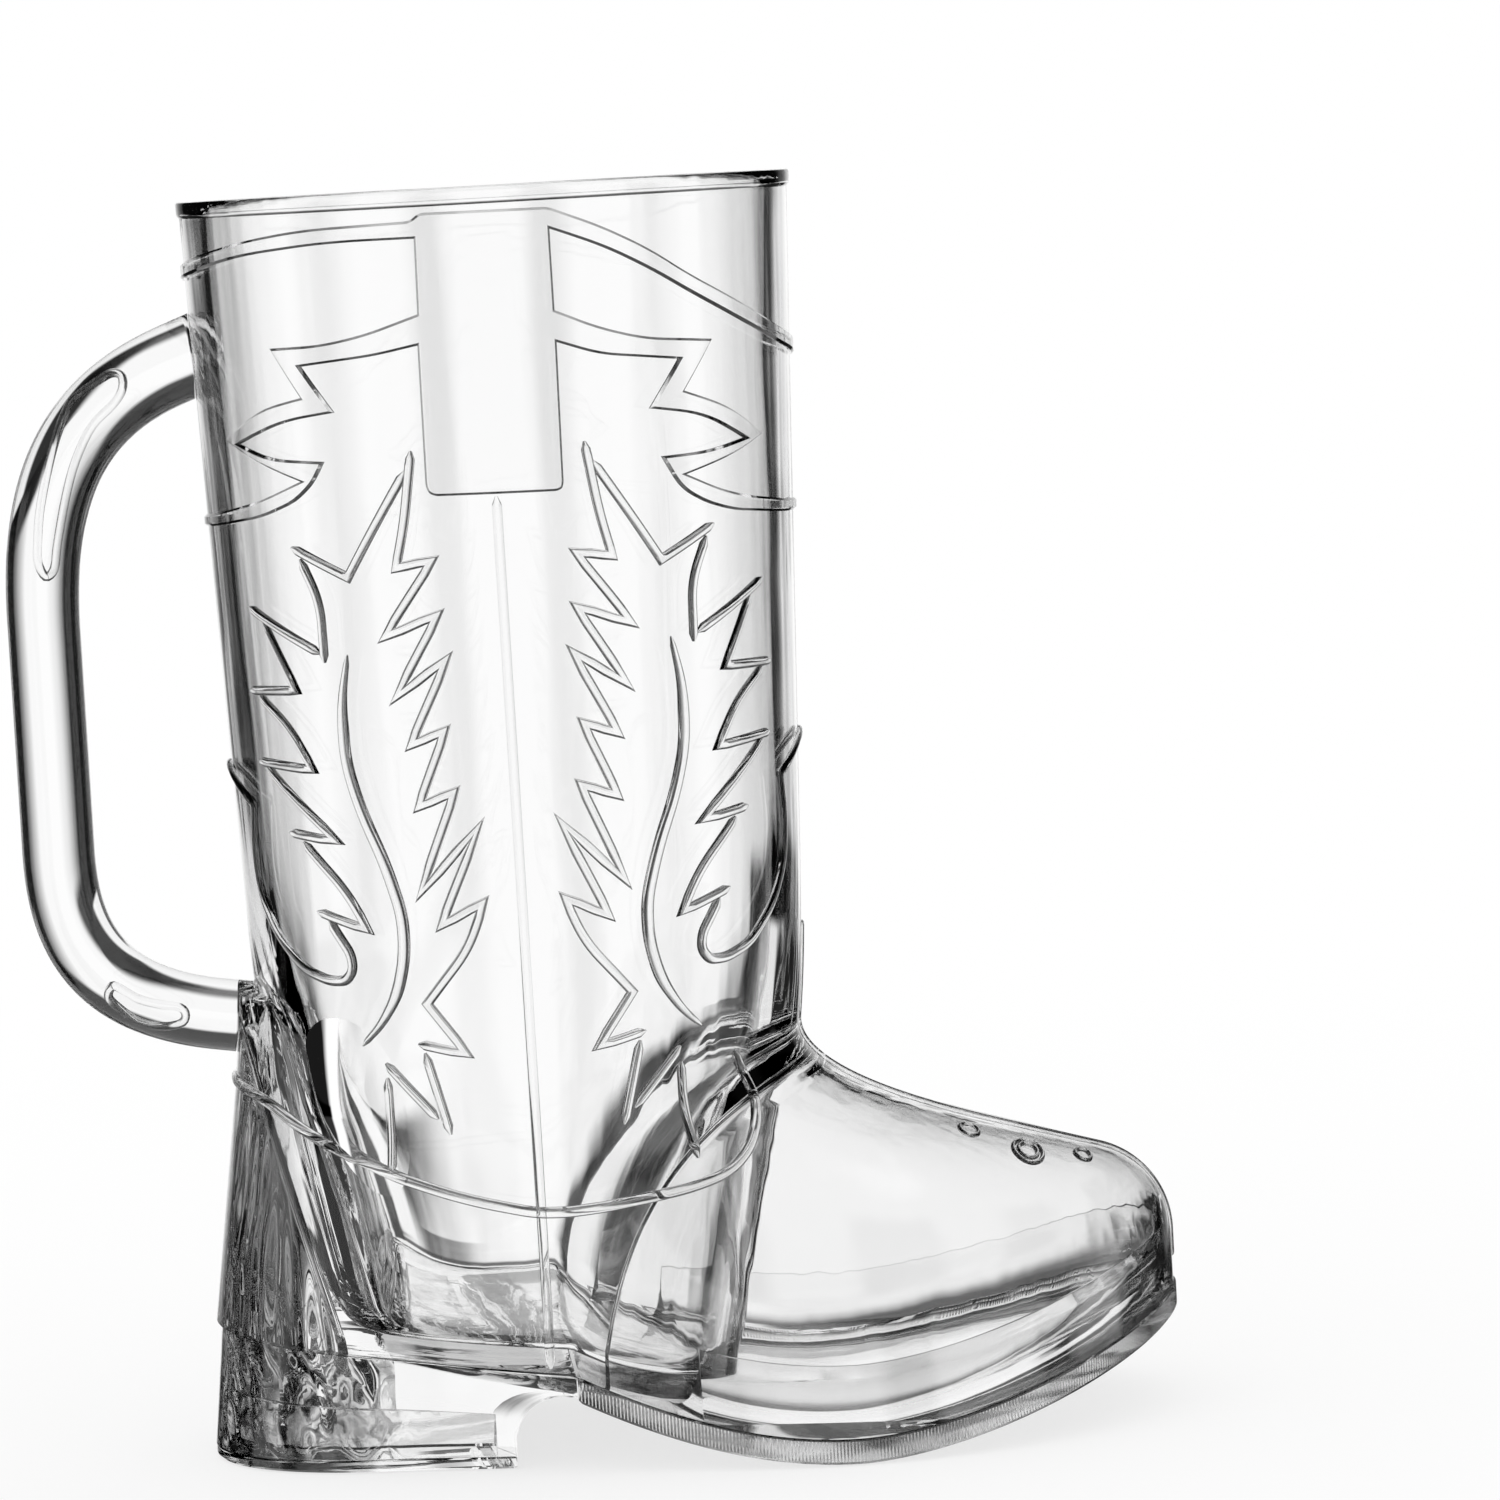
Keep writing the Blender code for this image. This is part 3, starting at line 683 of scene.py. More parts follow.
# %% The heel's wall
HEEL_INSET, HEEL_FLARE, HEEL_FOOT_WIDTH, HEEL_WALL = 0.7, 1.9, 44.0, 2.2
BREAST_X, BREAST_RADIUS, CAP_THICKNESS, CAP_BOSS = -4.8, 6.0, 1.5, 1.6
HOLLOW_X, HEEL_ROUGH, HEEL_FOLD_SIZE, HEEL_FOLD_STRETCH = -19.0, 2.2, 2.6, 2.0
HEEL_MIDDLE, FOLDS_X, FOLDS_FADE = Vector((-24, 0, 0)), -17, 4
heel_low = CAP_THICKNESS + BOND
shank = feather(SHANK_X) - GAP - SOLE_THICKNESS


def heel_ring(front, rise, inset=0.0, shrink=1.0, flat=None, rough=0.0):
    """The heel's outline at a share of its height, cut off at the breast; flat gives a level ring."""
    line = [p * ((p.length - HEEL_INSET - inset) / p.length) for p in feather_line[1:]]
    line = line[300:] + line[:300]
    scaled = []
    for p in line:
        z = heel_low + rise * (feather(p.x) - BOND - heel_low)
        down = 1 - z / HEEL_SEAT_HEIGHT
        scaled.append(Vector((p.x * (1 + down * HEEL_FLARE / HEEL_REACH),
                              p.y * (1 + down * (HEEL_FOOT_WIDTH / HEEL_SEAT_WIDTH - 1)), 0)))
    kept = [p for p in scaled if p.x < front]
    first, last = scaled.index(kept[0]), scaled.index(kept[-1])
    starts = kept[0].lerp(scaled[first - 1], (front - kept[0].x) / (scaled[first - 1].x - kept[0].x))
    stops = kept[-1].lerp(scaled[last + 1], (front - kept[-1].x) / (scaled[last + 1].x - kept[-1].x))
    around = even_steps([starts] + kept + [stops], 120)
    around += even_steps([around[-1], around[0]], 24)[1:-1]
    ring = []
    for p in around:
        p = HEEL_MIDDLE + (p - HEEL_MIDDLE) * shrink
        z = heel_low + rise * (feather(p.x) - BOND - heel_low) if flat is None else flat
        behind = min(1.0, max(FOLDS_X - p.x, 0.0) / FOLDS_FADE)
        fold = crumpled(Vector((p.x, p.y, z)), HEEL_FOLD_SIZE, HEEL_FOLD_STRETCH)
        p = p + (p - HEEL_MIDDLE).normalized() * rough * behind * fold
        ring.append(Vector((p.x, p.y, z)))
    return ring


breast = [(BREAST_X, heel_low), (BREAST_X, heel_low + 0.6)]
for k in range(9):
    bend = math.pi / 2 * k / 8
    forward, below = 1 - math.cos(bend), 1 - math.sin(bend)
    breast.append((BREAST_X + BREAST_RADIUS * forward, shank - BREAST_RADIUS * below))
breast += [(SHANK_X, shank), (SHANK_X, feather(SHANK_X) - BOND)]
tall = feather(SHANK_X) - BOND - heel_low
rings = [heel_ring(x, (z - heel_low) / tall) for x, z in breast]
down = [k / 12 for k in range(13)]
rings += [heel_ring(HOLLOW_X, 1 - 0.5 * d, HEEL_WALL, rough=HEEL_ROUGH) for d in down]
hollow_front = BREAST_X - HEEL_WALL
rings += [heel_ring(hollow_front, 0.48 * (1 - d), HEEL_WALL, rough=HEEL_ROUGH * (1 - d)) for d in down]
rings.append(rings[0])
heel = bmesh.new()
carried_wall(heel, rings)
bmesh.ops.remove_doubles(heel, verts=heel.verts, dist=0.0005)
finish_piece(heel, "clear_heel", solid_plastic, "heel_block", crease=30)

# %% [markdown]
# The cap is the thin plate that the heel stands on, with a low boss that fits into the hollow.

# %% The heel's cap
rings = [heel_ring(BREAST_X, 0, 0, share, 0.0) for share in (0.05, 0.35, 0.7, 0.93, 0.985)]
rings += [heel_ring(BREAST_X, 0, 0, 1, 0.3), heel_ring(BREAST_X, 0, 0, 1, CAP_THICKNESS - 0.25)]
rings += [heel_ring(BREAST_X, 0, 0, 0.988, CAP_THICKNESS)]
boss_front, boss_inset = BREAST_X - HEEL_WALL - 0.15, HEEL_WALL + 0.15
rings += [heel_ring(boss_front, 0, boss_inset, share, z) for share, z in (
    (1, CAP_THICKNESS), (1, CAP_THICKNESS + CAP_BOSS - 0.3), (0.985, CAP_THICKNESS + CAP_BOSS),
    (0.7, CAP_THICKNESS + CAP_BOSS), (0.35, CAP_THICKNESS + CAP_BOSS), (0.05, CAP_THICKNESS + CAP_BOSS))]
cap = bmesh.new()
carried_wall(cap, rings, first_pole=True, last_pole=True)
finish_piece(cap, "clear_heel_cap", solid_plastic, "heel_cap", crease=30)

# %% [markdown]
# ## The handle
# The handle is a solid round rod, bent like an ear, and its two ends sit on the back of the shaft. A
# bevelled curve would give the rod, but its flat ends would either stop short of the round shaft or run
# into it. So a circle is carried along the bend, and the last rings slide forward until each point meets
# the skin.

# %% The handle's bend
HANDLE_RADIUS, HANDLE_BACK = 4.5, -57.09
HANDLE_SWELL = 1.14
top_z, bottom_z, upper_bend, lower_bend = 137.4, 53.8, 104.0, 76.0
top_x = 2 * WALL - shaft_radius(math.pi, top_z)
bottom_x = 2 * WALL - shaft_radius(math.pi, bottom_z)
drop, rise = top_z - upper_bend, lower_bend - bottom_z
bends = (
    ((top_x, top_z), (top_x + 0.75 * (HANDLE_BACK - top_x), top_z - 0.1 * drop),
     (HANDLE_BACK, upper_bend + 0.58 * drop), (HANDLE_BACK, upper_bend)),
    ((HANDLE_BACK, upper_bend), (HANDLE_BACK, upper_bend - 0.2 * drop),
     (HANDLE_BACK, lower_bend + 0.3 * rise), (HANDLE_BACK, lower_bend)),
    ((HANDLE_BACK, lower_bend), (HANDLE_BACK, lower_bend - 0.62 * rise),
     (bottom_x + 0.8 * (HANDLE_BACK - bottom_x), bottom_z), (bottom_x, bottom_z)))


def handle_spot(along):
    """A place on the handle's middle line, its direction and its radius; along goes from 0 to 3."""
    part = min(int(along), 2)
    t = along - part
    a, b, c, d = (Vector((x, 0, z)) for x, z in bends[part])
    s = 1 - t
    place = a * s**3 + b * 3 * s * s * t + c * 3 * s * t * t + d * t**3
    way = (b - a) * s * s + (c - b) * 2 * s * t + (d - c) * t * t
    swell = 1 + (HANDLE_SWELL - 1) * max(1 - along, 0.0)
    return place, way.normalized(), HANDLE_RADIUS * swell


print("the handle reaches", HANDLE_BACK - HANDLE_RADIUS, "mm behind the axis")

# %% The handle's rod
ROUND = 56


def rod_ring(along, share=1.0):
    place, way, radius = handle_spot(along)
    out = Vector((-way.z, 0, way.x))
    return [place + (out * math.cos(a) + Vector((0, 1, 0)) * math.sin(a)) * radius * share
            for a in (2 * math.pi * k / ROUND for k in range(ROUND))]


def clear_of_skin(place):
    return math.hypot(place.x, place.y) - outer_radius(math.atan2(place.y, place.x), place.z)


def slide_to_skin(ring, way):
    """Move each point of a ring along the rod until it is a hair from the skin."""
    slid = []
    for place in ring:
        near, far = 0.0, 14.0
        for _ in range(22):
            reach = (near + far) / 2
            near, far = (reach, far) if clear_of_skin(place + way * reach) > SEAM else (near, reach)
        slid.append(place + way * near)
    return slid


along = [k / 48 for k in range(145)]
free = [s for s in along if min(clear_of_skin(p) for p in rod_ring(s)[::4]) > 0.8]
first, last = free[0], free[-1]
rings = []
for share in (0.12, 0.4, 0.7, 0.93):
    rings.append(slide_to_skin(rod_ring(first, share), -handle_spot(first)[1]))
rings.append(slide_to_skin(rod_ring(first), -handle_spot(first)[1]))
rings += [rod_ring(s) for s in free]
rings.append(slide_to_skin(rod_ring(last), handle_spot(last)[1]))
for share in (0.93, 0.7, 0.4, 0.12):
    rings.append(slide_to_skin(rod_ring(last, share), handle_spot(last)[1]))
rod = bmesh.new()
carried_wall(rod, rings, first_pole=True, last_pole=True)
finish_piece(rod, "clear_handle", solid_plastic, "handle")

# %% [markdown]
# ## Ways over the boot
# All the ornament follows lines on the skin. A line is given as degrees round the shaft, from the toe at
# 0 to the back at 180, and as a height. A helper softens the wide corners of a line and leaves the sharp
# ones nearly sharp, and a second one looks up each point on the skin, together with the direction that
# stands out from it.

# %% Lines on the skin
FLAT = math.radians(1) * 35.0


def drawn_line(points, step=1.0):
    """A line through the points on the unrolled boot, in short steps."""
    points = [Vector((degrees * FLAT, z)) for degrees, z in points]
    line, corners = [points[0]], []
    for a, b, c in zip(points, points[1:], points[2:]):
        into, out = b - a, c - b
        short = min(into.length, out.length)
        turn = into.angle(out)
        sharp = turn > 1.1
        cut = min(0.75 * math.tan(turn / 2) + 0.1, 0.42 * short) if sharp else 0.45 * short
        start, stop = b - into.normalized() * cut, b + out.normalized() * cut
        if sharp:
            line += [start, b, stop]
            corners.append(b)
            continue
        for k in range(7):
            s = k / 6
            line.append(start * (1 - s) ** 2 + b * 2 * s * (1 - s) + stop * s * s)
    line.append(points[-1])
    fine = [line[0]]
    for a, b in zip(line, line[1:]):
        if (b - a).length > 0.02:
            pieces = 1 if a in corners or b in corners else max(1, round((b - a).length / step))
            fine += [a.lerp(b, k / pieces) for k in range(1, pieces + 1)]
    return fine


def on_skin(line):
    return [skin(-math.radians(p.x / FLAT), p.y) for p in line]


print("one degree is", round(FLAT, 3), "mm on the shaft")

# %% [markdown]
# ## Raised beads
# The flames, the veins and the counter's line are half-round beads that stand on the skin. A curve with a
# bevel would be quick, but it is a full tube, and its hidden half would bend the light inside the wall.
# So the bead is a small dome with a flat bottom just under the skin: a section of a few vertices,
# extruded along the line.

# %% Lay a bead
SUNK = 0.08
DOME = [(math.sin(math.radians(a)), math.cos(math.radians(a))) for a in range(-90, 91, 20)]
BAND = ((-1, 0), (-0.97, 0.75), (-0.8, 1), (0.8, 1), (0.97, 0.75), (1, 0))


def lay_bead(shape, places, half_width, height, section=DOME, taper=0.0, closed=False):
    """A bead along places on a surface, with rounded ends or closed on itself."""
    run = [0.0]
    for (a, _), (b, _) in zip(places, places[1:]):
        run.append(run[-1] + (b - a).length)
    count, rings = len(places), []
    for k, (place, out) in enumerate(places):
        into = place - places[k - 1][0] if closed or k > 0 else places[1][0] - place
        onto = places[(k + 1) % count][0] - place if closed or k < count - 1 else into
        along = (into.normalized() + onto.normalized()).normalized()
        side = out.cross(along).normalized()
        mitre = 1 / max(along.dot(into.normalized()), 0.25)
        inner = 1 if into.cross(onto).dot(out) > 0 else -1
        slim = 1.0
        if not closed:
            to_end = min(run[k], run[-1] - run[k])
            slim = max(math.sqrt(1 - (1 - min(to_end / half_width, 1.0)) ** 2), 0.25)
            if taper:
                slim *= min(1.0, 0.4 + 0.6 * to_end / taper)
        width, tall = half_width * slim, height * min(1.0, 0.3 + 0.7 * slim)
        reach = {inner: width * mitre, -inner: width * min(mitre, 1.5)}
        ring = [place + side * (s * reach[1 if s > 0 else -1]) + out * (h * tall) for s, h in section]
        rings.append(ring + [place + side * reach[1] - out * SUNK, place - side * reach[-1] - out * SUNK])
    row, edges = first_row(shape, rings[0])
    first = row
    for ring in rings[1:]:
        row, edges = next_row(shape, row, edges, ring)
    if closed:
        next_row(shape, row, edges, rings[0])
        bmesh.ops.remove_doubles(shape, verts=shape.verts, dist=0.002)
    else:
        for end in (first, row):
            bmesh.ops.contextual_create(shape, geom=end)


print("a bead has", len(DOME) + 2, "corners")

# %% [markdown]
# The flame stitch is the boot's main ornament: on the near side two tall flames face each other across
# the side seam. One flame is drawn as strokes, in degrees from the seam, and laid towards the back and
# towards the toe. No stitching shows through from the far wall, so that side stays bare.

# %% The flame's strokes
FLAME = (
    ((17.3, 124.3), (19.6, 116.0), (22.1, 110.4), (14.2, 111.3), (26.1, 102.0), (13.7, 104.9), (24.7, 94.6),
     (12.4, 99.7), (22.0, 89.0), (14.0, 91.0), (21.2, 81.6), (12.9, 83.6), (22.3, 71.0), (8.0, 79.6),
     (18.2, 67.2), (8.3, 70.2), (12.4, 64.5), (22.3, 58.0), (14.0, 51.7), (25.0, 53.1)),
    ((23.7, 52.0), (19.3, 42.0)),
    ((21.9, 43.9), (33.3, 50.7)),
    ((33.4, 48.9), (34.4, 37.1)),
    ((18.8, 121.9), (32.8, 109.5), (46.1, 113.2)),
    ((44.1, 111.8), (39.9, 106.6), (40.0, 99.3)),
    ((61.1, 105.9), (40.9, 100.4)),
    ((56.6, 104.2), (48.1, 95.9), (64.0, 95.7)),
    ((60.2, 95.1), (51.3, 91.5), (45.3, 86.3), (62.9, 87.1)),
    ((59.9, 86.5), (40.1, 77.6), (54.0, 78.6)),
    ((50.0, 77.5), (39.6, 71.8), (34.5, 66.9), (47.7, 69.1)),
)
CURL = ((44.6, 68.0), (39.6, 64.0), (39.3, 62.1), (41.5, 60.7), (45.9, 60.6), (53.2, 61.8), (62.7, 66.3),
        (68.0, 71.0), (69.0, 75.8), (67.3, 81.6), (79.9, 84.8), (90.0, 86.0))
VEIN = ((34.4, 100.2), (36.7, 94.6), (36.9, 87.4), (34.2, 81.6), (29.3, 74.8), (26.4, 68.8), (26.5, 64.0),
        (28.9, 59.2), (33.7, 55.3), (39.0, 52.8))
FLAME_BEAD, CURL_BEAD, VEIN_BEAD, VEIN_TAPER = (0.6, 0.58), (0.65, 0.6), (0.8, 0.6), 9.0
flames = bmesh.new()
for way in (1, -1):
    strokes = [(stroke, FLAME_BEAD, 0.0) for stroke in FLAME]
    for stroke, bead, taper in strokes + [(CURL, CURL_BEAD, 0.0), (VEIN, VEIN_BEAD, VEIN_TAPER)]:
        line = drawn_line([(90 + way * degrees, z) for degrees, z in stroke])
        lay_bead(flames, on_skin(line), *bead, taper=taper)
finish_piece(flames, "flame_stitch", solid_plastic)

# %% [markdown]
# The side seam is a narrow flat band that runs from the pull strap down to the sole. The counter's line
# goes from the back round under the ankle and turns up over the vamp. The third line is the low ridge
# that the two halves of the mould leave along the top of the vamp, which gives the foot its dark edge.

# %% Side seam and counter line
COUNTER = ((180, 47.0), (165.0, 46.5), (154.4, 45.4), (142.5, 41.7), (126.5, 37.3), (107.6, 34.1),
           (91.6, 32.1), (85.0, 31.9), (76.3, 32.2), (67.0, 32.9), (58.1, 33.8), (51.2, 35.1), (46.0, 37.5),
           (41.6, 40.6), (38.8, 43.3), (39.1, 46.3), (41.6, 49.0))
SEAM_LINE = ((90.8, 118.4), (90.4, 66.6), (90.2, 13.0))
RIDGE_START, RIDGE_DROP = 62.0, 45.0
SEAM_BAND, COUNTER_BEAD, RIDGE_BEAD = (0.6, 0.28), (0.7, 0.55), (0.45, 0.4)
lines = bmesh.new()
lay_bead(lines, on_skin(drawn_line(SEAM_LINE)), *SEAM_BAND, section=BAND)
lay_bead(lines, on_skin(drawn_line(COUNTER[::-1])), *COUNTER_BEAD)
lay_bead(lines, [skin(0.0, RIDGE_START - RIDGE_DROP * k / 180) for k in range(181)], *RIDGE_BEAD)
finish_piece(lines, "seam_and_counter_lines", solid_plastic)

# %% [markdown]
# ## Collar, pull strap and cut-out band
# Round the top a second layer lies on the shaft, like a cut leather collar: a narrow band under the rim
# that dips to the toe, a broad pull strap at the side, and a band with three points below it. It is one
# flat sheet, so we draw it on the unrolled boot, fill it, extrude its thickness, slope its upper edge,
# cut it into narrow columns so that it can bend, and only then roll it onto the skin. A bevel would slope
# the edge too, but the thin triangles of the fill hold it back, so the top is inset and raised instead.

# %% The overlay's outline
OVERLAY_LIFT, OVERLAY_SLOPE = 0.44, 0.3
COLLAR_TOP = ((180, 147.2), (159.8, 148.5), (140, 150.2), (126, 151.1), (104.3, 151.4), (102.4, 152.3),
              (80.5, 152.2), (77.8, 152.2), (75.0, 151.5), (67.7, 149.7), (58, 146.8), (48.2, 143.2),
              (35, 139.6), (20, 136.2), (0, 134.2))
COLLAR_FRONT = ((0, 132.2), (20, 134.2), (35, 137.4), (47.2, 140.7), (58, 144.3), (67.1, 147.1),
                (77.6, 149.6))
BAND_FRONT = ((77.4, 140.0), (68.8, 137.7), (59.2, 136.1), (42.8, 135.3), (50.4, 129.4), (38.2, 127.0),
              (27.4, 123.3), (38, 121.2), (50.5, 119.4), (42, 117.3), (33.4, 116.1), (16, 114.9),
              (0, 114.6), (0, 113.2), (18, 113.4), (38.1, 114.5), (46, 115.8), (52.1, 117.8), (56.3, 121.8),
              (44.8, 122.0), (34.1, 123.1), (46.1, 126.4), (58.6, 127.6), (51.6, 133.2), (68.9, 134.4),
              (77.3, 136.2))
STRAP_FOOT = ((77.3, 119.6), (77.6, 118.9), (78.7, 118.6), (102.8, 118.8), (104.2, 119.2), (104.7, 120.1))
BAND_BACK = ((104.4, 136.7), (113.3, 135.7), (129.8, 134.8), (122.9, 129.2), (135.1, 128.3), (148.9, 125.7),
             (139.7, 123.9), (126.1, 123.4), (129, 120.8), (134, 118.6), (143.6, 116.8), (162, 115.6),
             (180, 115.2), (180, 116.6), (162, 117.1), (144.8, 118.7), (138, 119.9), (132.2, 121.1),
             (142.3, 123.2), (154.5, 126.2), (140.9, 129.9), (130.4, 131.1), (137.3, 137.1), (124.8, 137.3),
             (115, 138.3), (104.0, 140.4))
COLLAR_BACK = ((103.7, 149.3), (121.1, 149.3), (143.9, 148.2), (162, 146.5), (180, 145.4))
outline = drawn_line(COLLAR_TOP + COLLAR_FRONT + BAND_FRONT + STRAP_FOOT + BAND_BACK + COLLAR_BACK)
print("the overlay's outline has", len(outline), "points")

# %% Fill, thicken, slope and cut the sheet
overlay = bmesh.new()
_, rim = first_row(overlay, [(spot.x, spot.y, -SUNK) for spot in outline])
bmesh.ops.triangle_fill(overlay, use_beauty=True, use_dissolve=False, edges=rim, normal=(0, 0, 1))
raised = bmesh.ops.extrude_face_region(overlay, geom=overlay.faces[:])["geom"]
tops = [part for part in raised if isinstance(part, bmesh.types.BMVert)]
bmesh.ops.translate(overlay, verts=tops, vec=(0, 0, OVERLAY_LIFT - OVERLAY_SLOPE + SUNK))
overlay.normal_update()
upper = [part for part in raised if isinstance(part, bmesh.types.BMFace)]
bmesh.ops.inset_region(overlay, faces=upper, thickness=OVERLAY_SLOPE, depth=OVERLAY_SLOPE, use_boundary=True,
                       use_even_offset=True)
for degrees in range(2, 180, 2):
    bmesh.ops.bisect_plane(overlay, geom=overlay.verts[:] + overlay.edges[:] + overlay.faces[:], dist=0.0001,
                           plane_co=(degrees * FLAT, 0, 0), plane_no=(1, 0, 0))
print("flat overlay:", len(overlay.faces), "faces")

# %% Roll the sheet onto the skin
for vertex in overlay.verts:
    place, out = skin(-math.radians(vertex.co.x / FLAT), vertex.co.y)
    vertex.co = place + out * vertex.co.z
finish_piece(overlay, "collar_and_strap", solid_plastic, crease=20)

# %% [markdown]
# ## Small ornaments
# Little rings stand on the top of the toe, one of them double, and the near side of the handle has a long
# loop and a short one. They are closed beads: the rings lie on the skin, the loops on the round of the
# handle. The toe slopes away from the near side, so the rings are drawn longer across than along.

# %% Toe rings
def skin_above(x, y):
    """The place on the skin over a point of the foot's plan."""
    low, high = feather(x), 60.0
    turn = math.atan2(y, x)
    for _ in range(30):
        z = (low + high) / 2
        low, high = (z, high) if outer_radius(turn, z) > math.hypot(x, y) else (low, z)
    return skin(turn, low)


TOE_RINGS = ((53.0, -10.5, 1.2), (60.0, -12.5, 1.9), (60.0, -12.5, 1.2), (67.0, -9.0, 1.0))
RING_STRETCH, RING_BEAD = 1.7, (0.3, 0.42)
rings_on_toe = bmesh.new()
for x, y, radius in TOE_RINGS:
    middle, out = skin_above(x, y)
    fore = out.cross(Vector((0, 1, 0))).normalized()
    across = out.cross(fore).normalized()
    around = []
    for k in range(28):
        turn = 2 * math.pi * k / 28
        spot = middle + (fore * math.cos(turn) + across * RING_STRETCH * math.sin(turn)) * radius
        around.append(skin_above(spot.x, spot.y))
    lay_bead(rings_on_toe, around, *RING_BEAD, closed=True)
finish_piece(rings_on_toe, "toe_rings", solid_plastic)

# %% Loops on the handle
LONG_LOOP = ((-56.2, 110.3), (-57.0, 112.2), (-56.9, 114.5), (-56.2, 119.2), (-54.3, 125.8), (-52.3, 130.5),
             (-50.8, 132.2), (-47.6, 134.2), (-46.2, 134.7), (-45.3, 134.2), (-45.4, 132.6), (-46.6, 130.9),
             (-49.3, 128.4), (-51.6, 124.3), (-53.2, 119.6), (-54.5, 114.3), (-55.1, 111.2))
SHORT_LOOP = ((-51.5, 59.1), (-50.8, 59.3), (-48.2, 57.6), (-45.4, 56.7), (-43.1, 56.2), (-42.5, 55.2),
              (-43.2, 54.2), (-45.6, 54.0), (-48.4, 54.8), (-50.6, 56.6), (-51.8, 58.0))
LOOP_BEAD = (0.55, 0.7)
spots = [handle_spot(k / 100) for k in range(301)]


def on_handle(x, z):
    """The place on the handle's side at a point of the side view."""
    flat = Vector((x, 0, z))
    middle, _, radius = min(spots, key=lambda spot: (spot[0] - flat).length)
    off = flat - middle
    off = off * min(1.0, 0.93 * radius / max(off.length, 1e-6))
    out = off - Vector((0, math.sqrt(radius * radius - off.length_squared), 0))
    return middle + out, out.normalized()


loops = bmesh.new()
for loop in (LONG_LOOP, SHORT_LOOP):
    line = [Vector((x, 0, z)) for x, z in loop]
    fine = []
    for k in range(len(line)):
        a, b, c, d = (line[(k + j) % len(line)] for j in range(-1, 3))
        for j in range(4):
            s = j / 4
            fine.append((b * 2 + (c - a) * s + (a * 2 - b * 5 + c * 4 - d) * s * s
                         + (b * 3 - a - c * 3 + d) * s**3) / 2)
    lay_bead(loops, [on_handle(p.x, p.z) for p in fine], *LOOP_BEAD, closed=True)
finish_piece(loops, "handle_loops", solid_plastic)

# %% [markdown]
# ## Stage and light
# Clear ware shows what stands round it, and has no colour of its own. On a white ground it would vanish,
# so a photographer leaves dark gaps between the white screens round it: the edges of the piece bend the
# light from the gaps into the picture and turn dark, while flat walls stay white. We give the
# surroundings such screens, as soft white fields with dark gaps between them, seen only by reflected and
# bent light. The floor and the background are plain white. The screens stand level round the mug, other
# screens lie on the ground, a grey card leans in front, and overhead it is dark up to one lamp. Their
# places were found by trying.

# %% The surroundings
world = bpy.data.worlds.new("white_screens")
scene.world = world
world.use_nodes = True
sky = world.node_tree
nodes, link = sky.nodes, sky.links.new
nodes.clear()


def world_stops(value, stops):
    """Brightness by direction, through a row of stops."""
    node = nodes.new("ShaderNodeValToRGB")
    ramp = node.color_ramp
    while len(ramp.elements) < len(stops):
        ramp.elements.new(0.5)
    for element, (place, bright) in zip(ramp.elements, stops):
        element.position = place
        element.color = (bright, bright, bright, 1)
    link(value, node.inputs["Fac"])
    return node.outputs["Color"]


where = nodes.new("ShaderNodeTexCoord")
split = nodes.new("ShaderNodeSeparateXYZ")
link(where.outputs["Generated"], split.inputs["Vector"])
height = split.outputs["Z"]
side = math_node(sky, "ARCTAN2", split.outputs["X"], split.outputs["Y"])
FRONT = ((-76, 0.01), (-28, 0.01), (-23, 0.3), (-16, 0.75), (-9, 1), (16, 1), (22, 0.7), (30, 0.25),
         (37, 0.01), (76, 0.01))
FLANK = ((82, 1), (103, 1), (108, 0.05), (117, 0.05), (122, 1), (148, 1), (153, 0.05), (162, 0.05),
         (167, 1), (180, 1))
LEVEL = tuple((-angle, bright) for angle, bright in FLANK[::-1]) + FRONT + FLANK
turned = math_node(sky, "MULTIPLY_ADD", side, 0.5 / math.pi, 0.5)
level = world_stops(turned, [(angle / 360 + 0.5, bright) for angle, bright in LEVEL])
off_screen = math_node(sky, "PINGPONG", math_node(sky, "MULTIPLY", side, 4 / math.pi), 0.5)
ground = fade_node(sky, off_screen, 0.17, 0.3, 1.0, 0.03)
aside = math_node(sky, "ABSOLUTE", side)
middle = fade_node(sky, aside, 0.17, 0.29, 1.0, 0.02)
narrow = math_node(sky, "MAXIMUM", middle, fade_node(sky, aside, 1.35, 1.42, 0.0, 1.0))
low = math_node(sky, "MULTIPLY", level, narrow)
screens = mix_node(sky, fade_node(sky, height, -0.15, -0.12, 1.0, 0.0), level, low)
screens = mix_node(sky, fade_node(sky, height, -0.235, -0.215, 1.0, 0.0), screens, ground)
card_foot = fade_node(sky, height, -0.66, -0.58, 0.0, 1.0)
card_head = fade_node(sky, height, -0.5, -0.37, 1.0, 0.0)
card = math_node(sky, "MULTIPLY", card_foot, card_head)
card = math_node(sky, "MULTIPLY", card, fade_node(sky, aside, 0.4, 0.6, 0.85, 0.0))
screens = mix_node(sky, fade_node(sky, height, -0.7, -0.6, 1.0, 0.0), screens, 1.0)
screens = math_node(sky, "MULTIPLY", screens, math_node(sky, "SUBTRACT", 1.0, card))
screens = math_node(sky, "MULTIPLY", screens, fade_node(sky, height, 0.19, 0.27, 1.0, 0.04))
screens = math_node(sky, "ADD", screens, fade_node(sky, height, 0.88, 0.96, 0.0, 1.0))
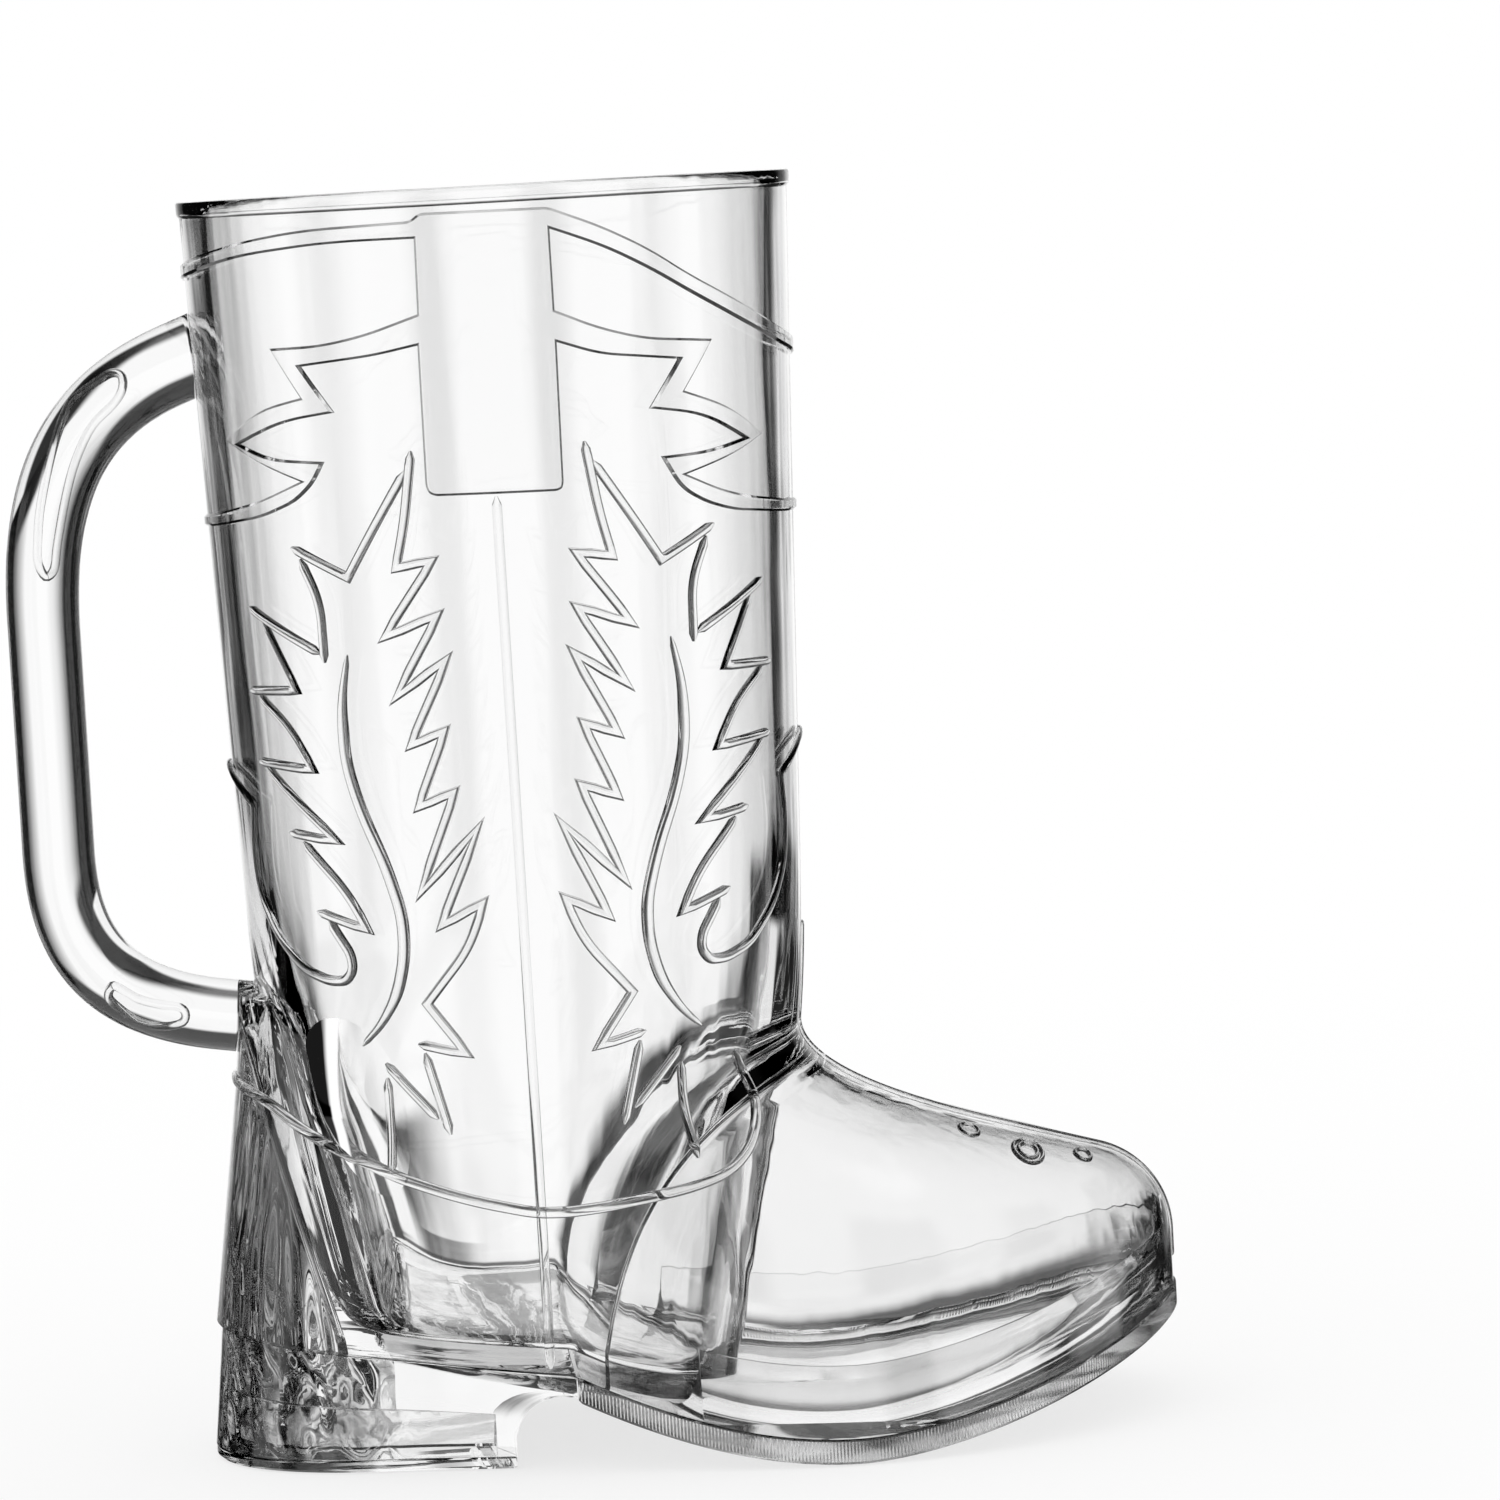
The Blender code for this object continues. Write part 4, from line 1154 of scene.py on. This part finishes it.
path = nodes.new("ShaderNodeLightPath")
bent = math_node(sky, "MAXIMUM", path.outputs["Is Glossy Ray"], path.outputs["Is Transmission Ray"])
bent = math_node(sky, "MULTIPLY", bent, math_node(sky, "SUBTRACT", 1.0, path.outputs["Is Camera Ray"]))
light = nodes.new("ShaderNodeBackground")
link(mix_node(sky, bent, 1.0, screens), light.inputs["Color"])
out = nodes.new("ShaderNodeOutputWorld")
link(light.outputs["Background"], out.inputs["Surface"])
print("surroundings:", len(nodes), "nodes")

# %% [markdown]
# The floor is a wide white sheet. Bent light passes it by and sees the surroundings instead, so that the
# screens show below the horizon too.

# %% Floor
FLOOR_SIZE = 0.7
sheet = bpy.data.meshes.new("floor")
disc = bmesh.new()
bmesh.ops.create_circle(disc, cap_ends=True, segments=96, radius=FLOOR_SIZE)
disc.to_mesh(sheet)
disc.free()
floor = bpy.data.objects.new("floor", sheet)
scene.collection.objects.link(floor)
white = bpy.data.materials.new("white_floor")
white.use_nodes = True
nodes, link = white.node_tree.nodes, white.node_tree.links.new
shader = nodes["Principled BSDF"]
shader.inputs["Base Color"].default_value = (0.97, 0.97, 0.97, 1)
shader.inputs["Roughness"].default_value = 1.0
shader.inputs["Specular IOR Level"].default_value = 0.0
plain = nodes.new("ShaderNodeEmission")
place = nodes.new("ShaderNodeTexCoord")
away = nodes.new("ShaderNodeVectorMath")
away.operation = "LENGTH"
blend = nodes.new("ShaderNodeMixShader")
link(place.outputs["Object"], away.inputs[0])
link(fade_node(white.node_tree, away.outputs["Value"], 0.08, 0.5, 0.75, 1.0), blend.inputs["Fac"])
link(shader.outputs["BSDF"], blend.inputs[1])
link(plain.outputs["Emission"], blend.inputs[2])
link(blend.outputs["Shader"], nodes["Material Output"].inputs["Surface"])
sheet.materials.append(white)
floor.location.z = -0.0002
floor.visible_glossy = False
floor.visible_transmission = False
scene.cycles.max_bounces = 32
scene.cycles.transmission_bounces = 32
scene.cycles.glossy_bounces = 8
print("floor is", 2 * FLOOR_SIZE, "m wide")
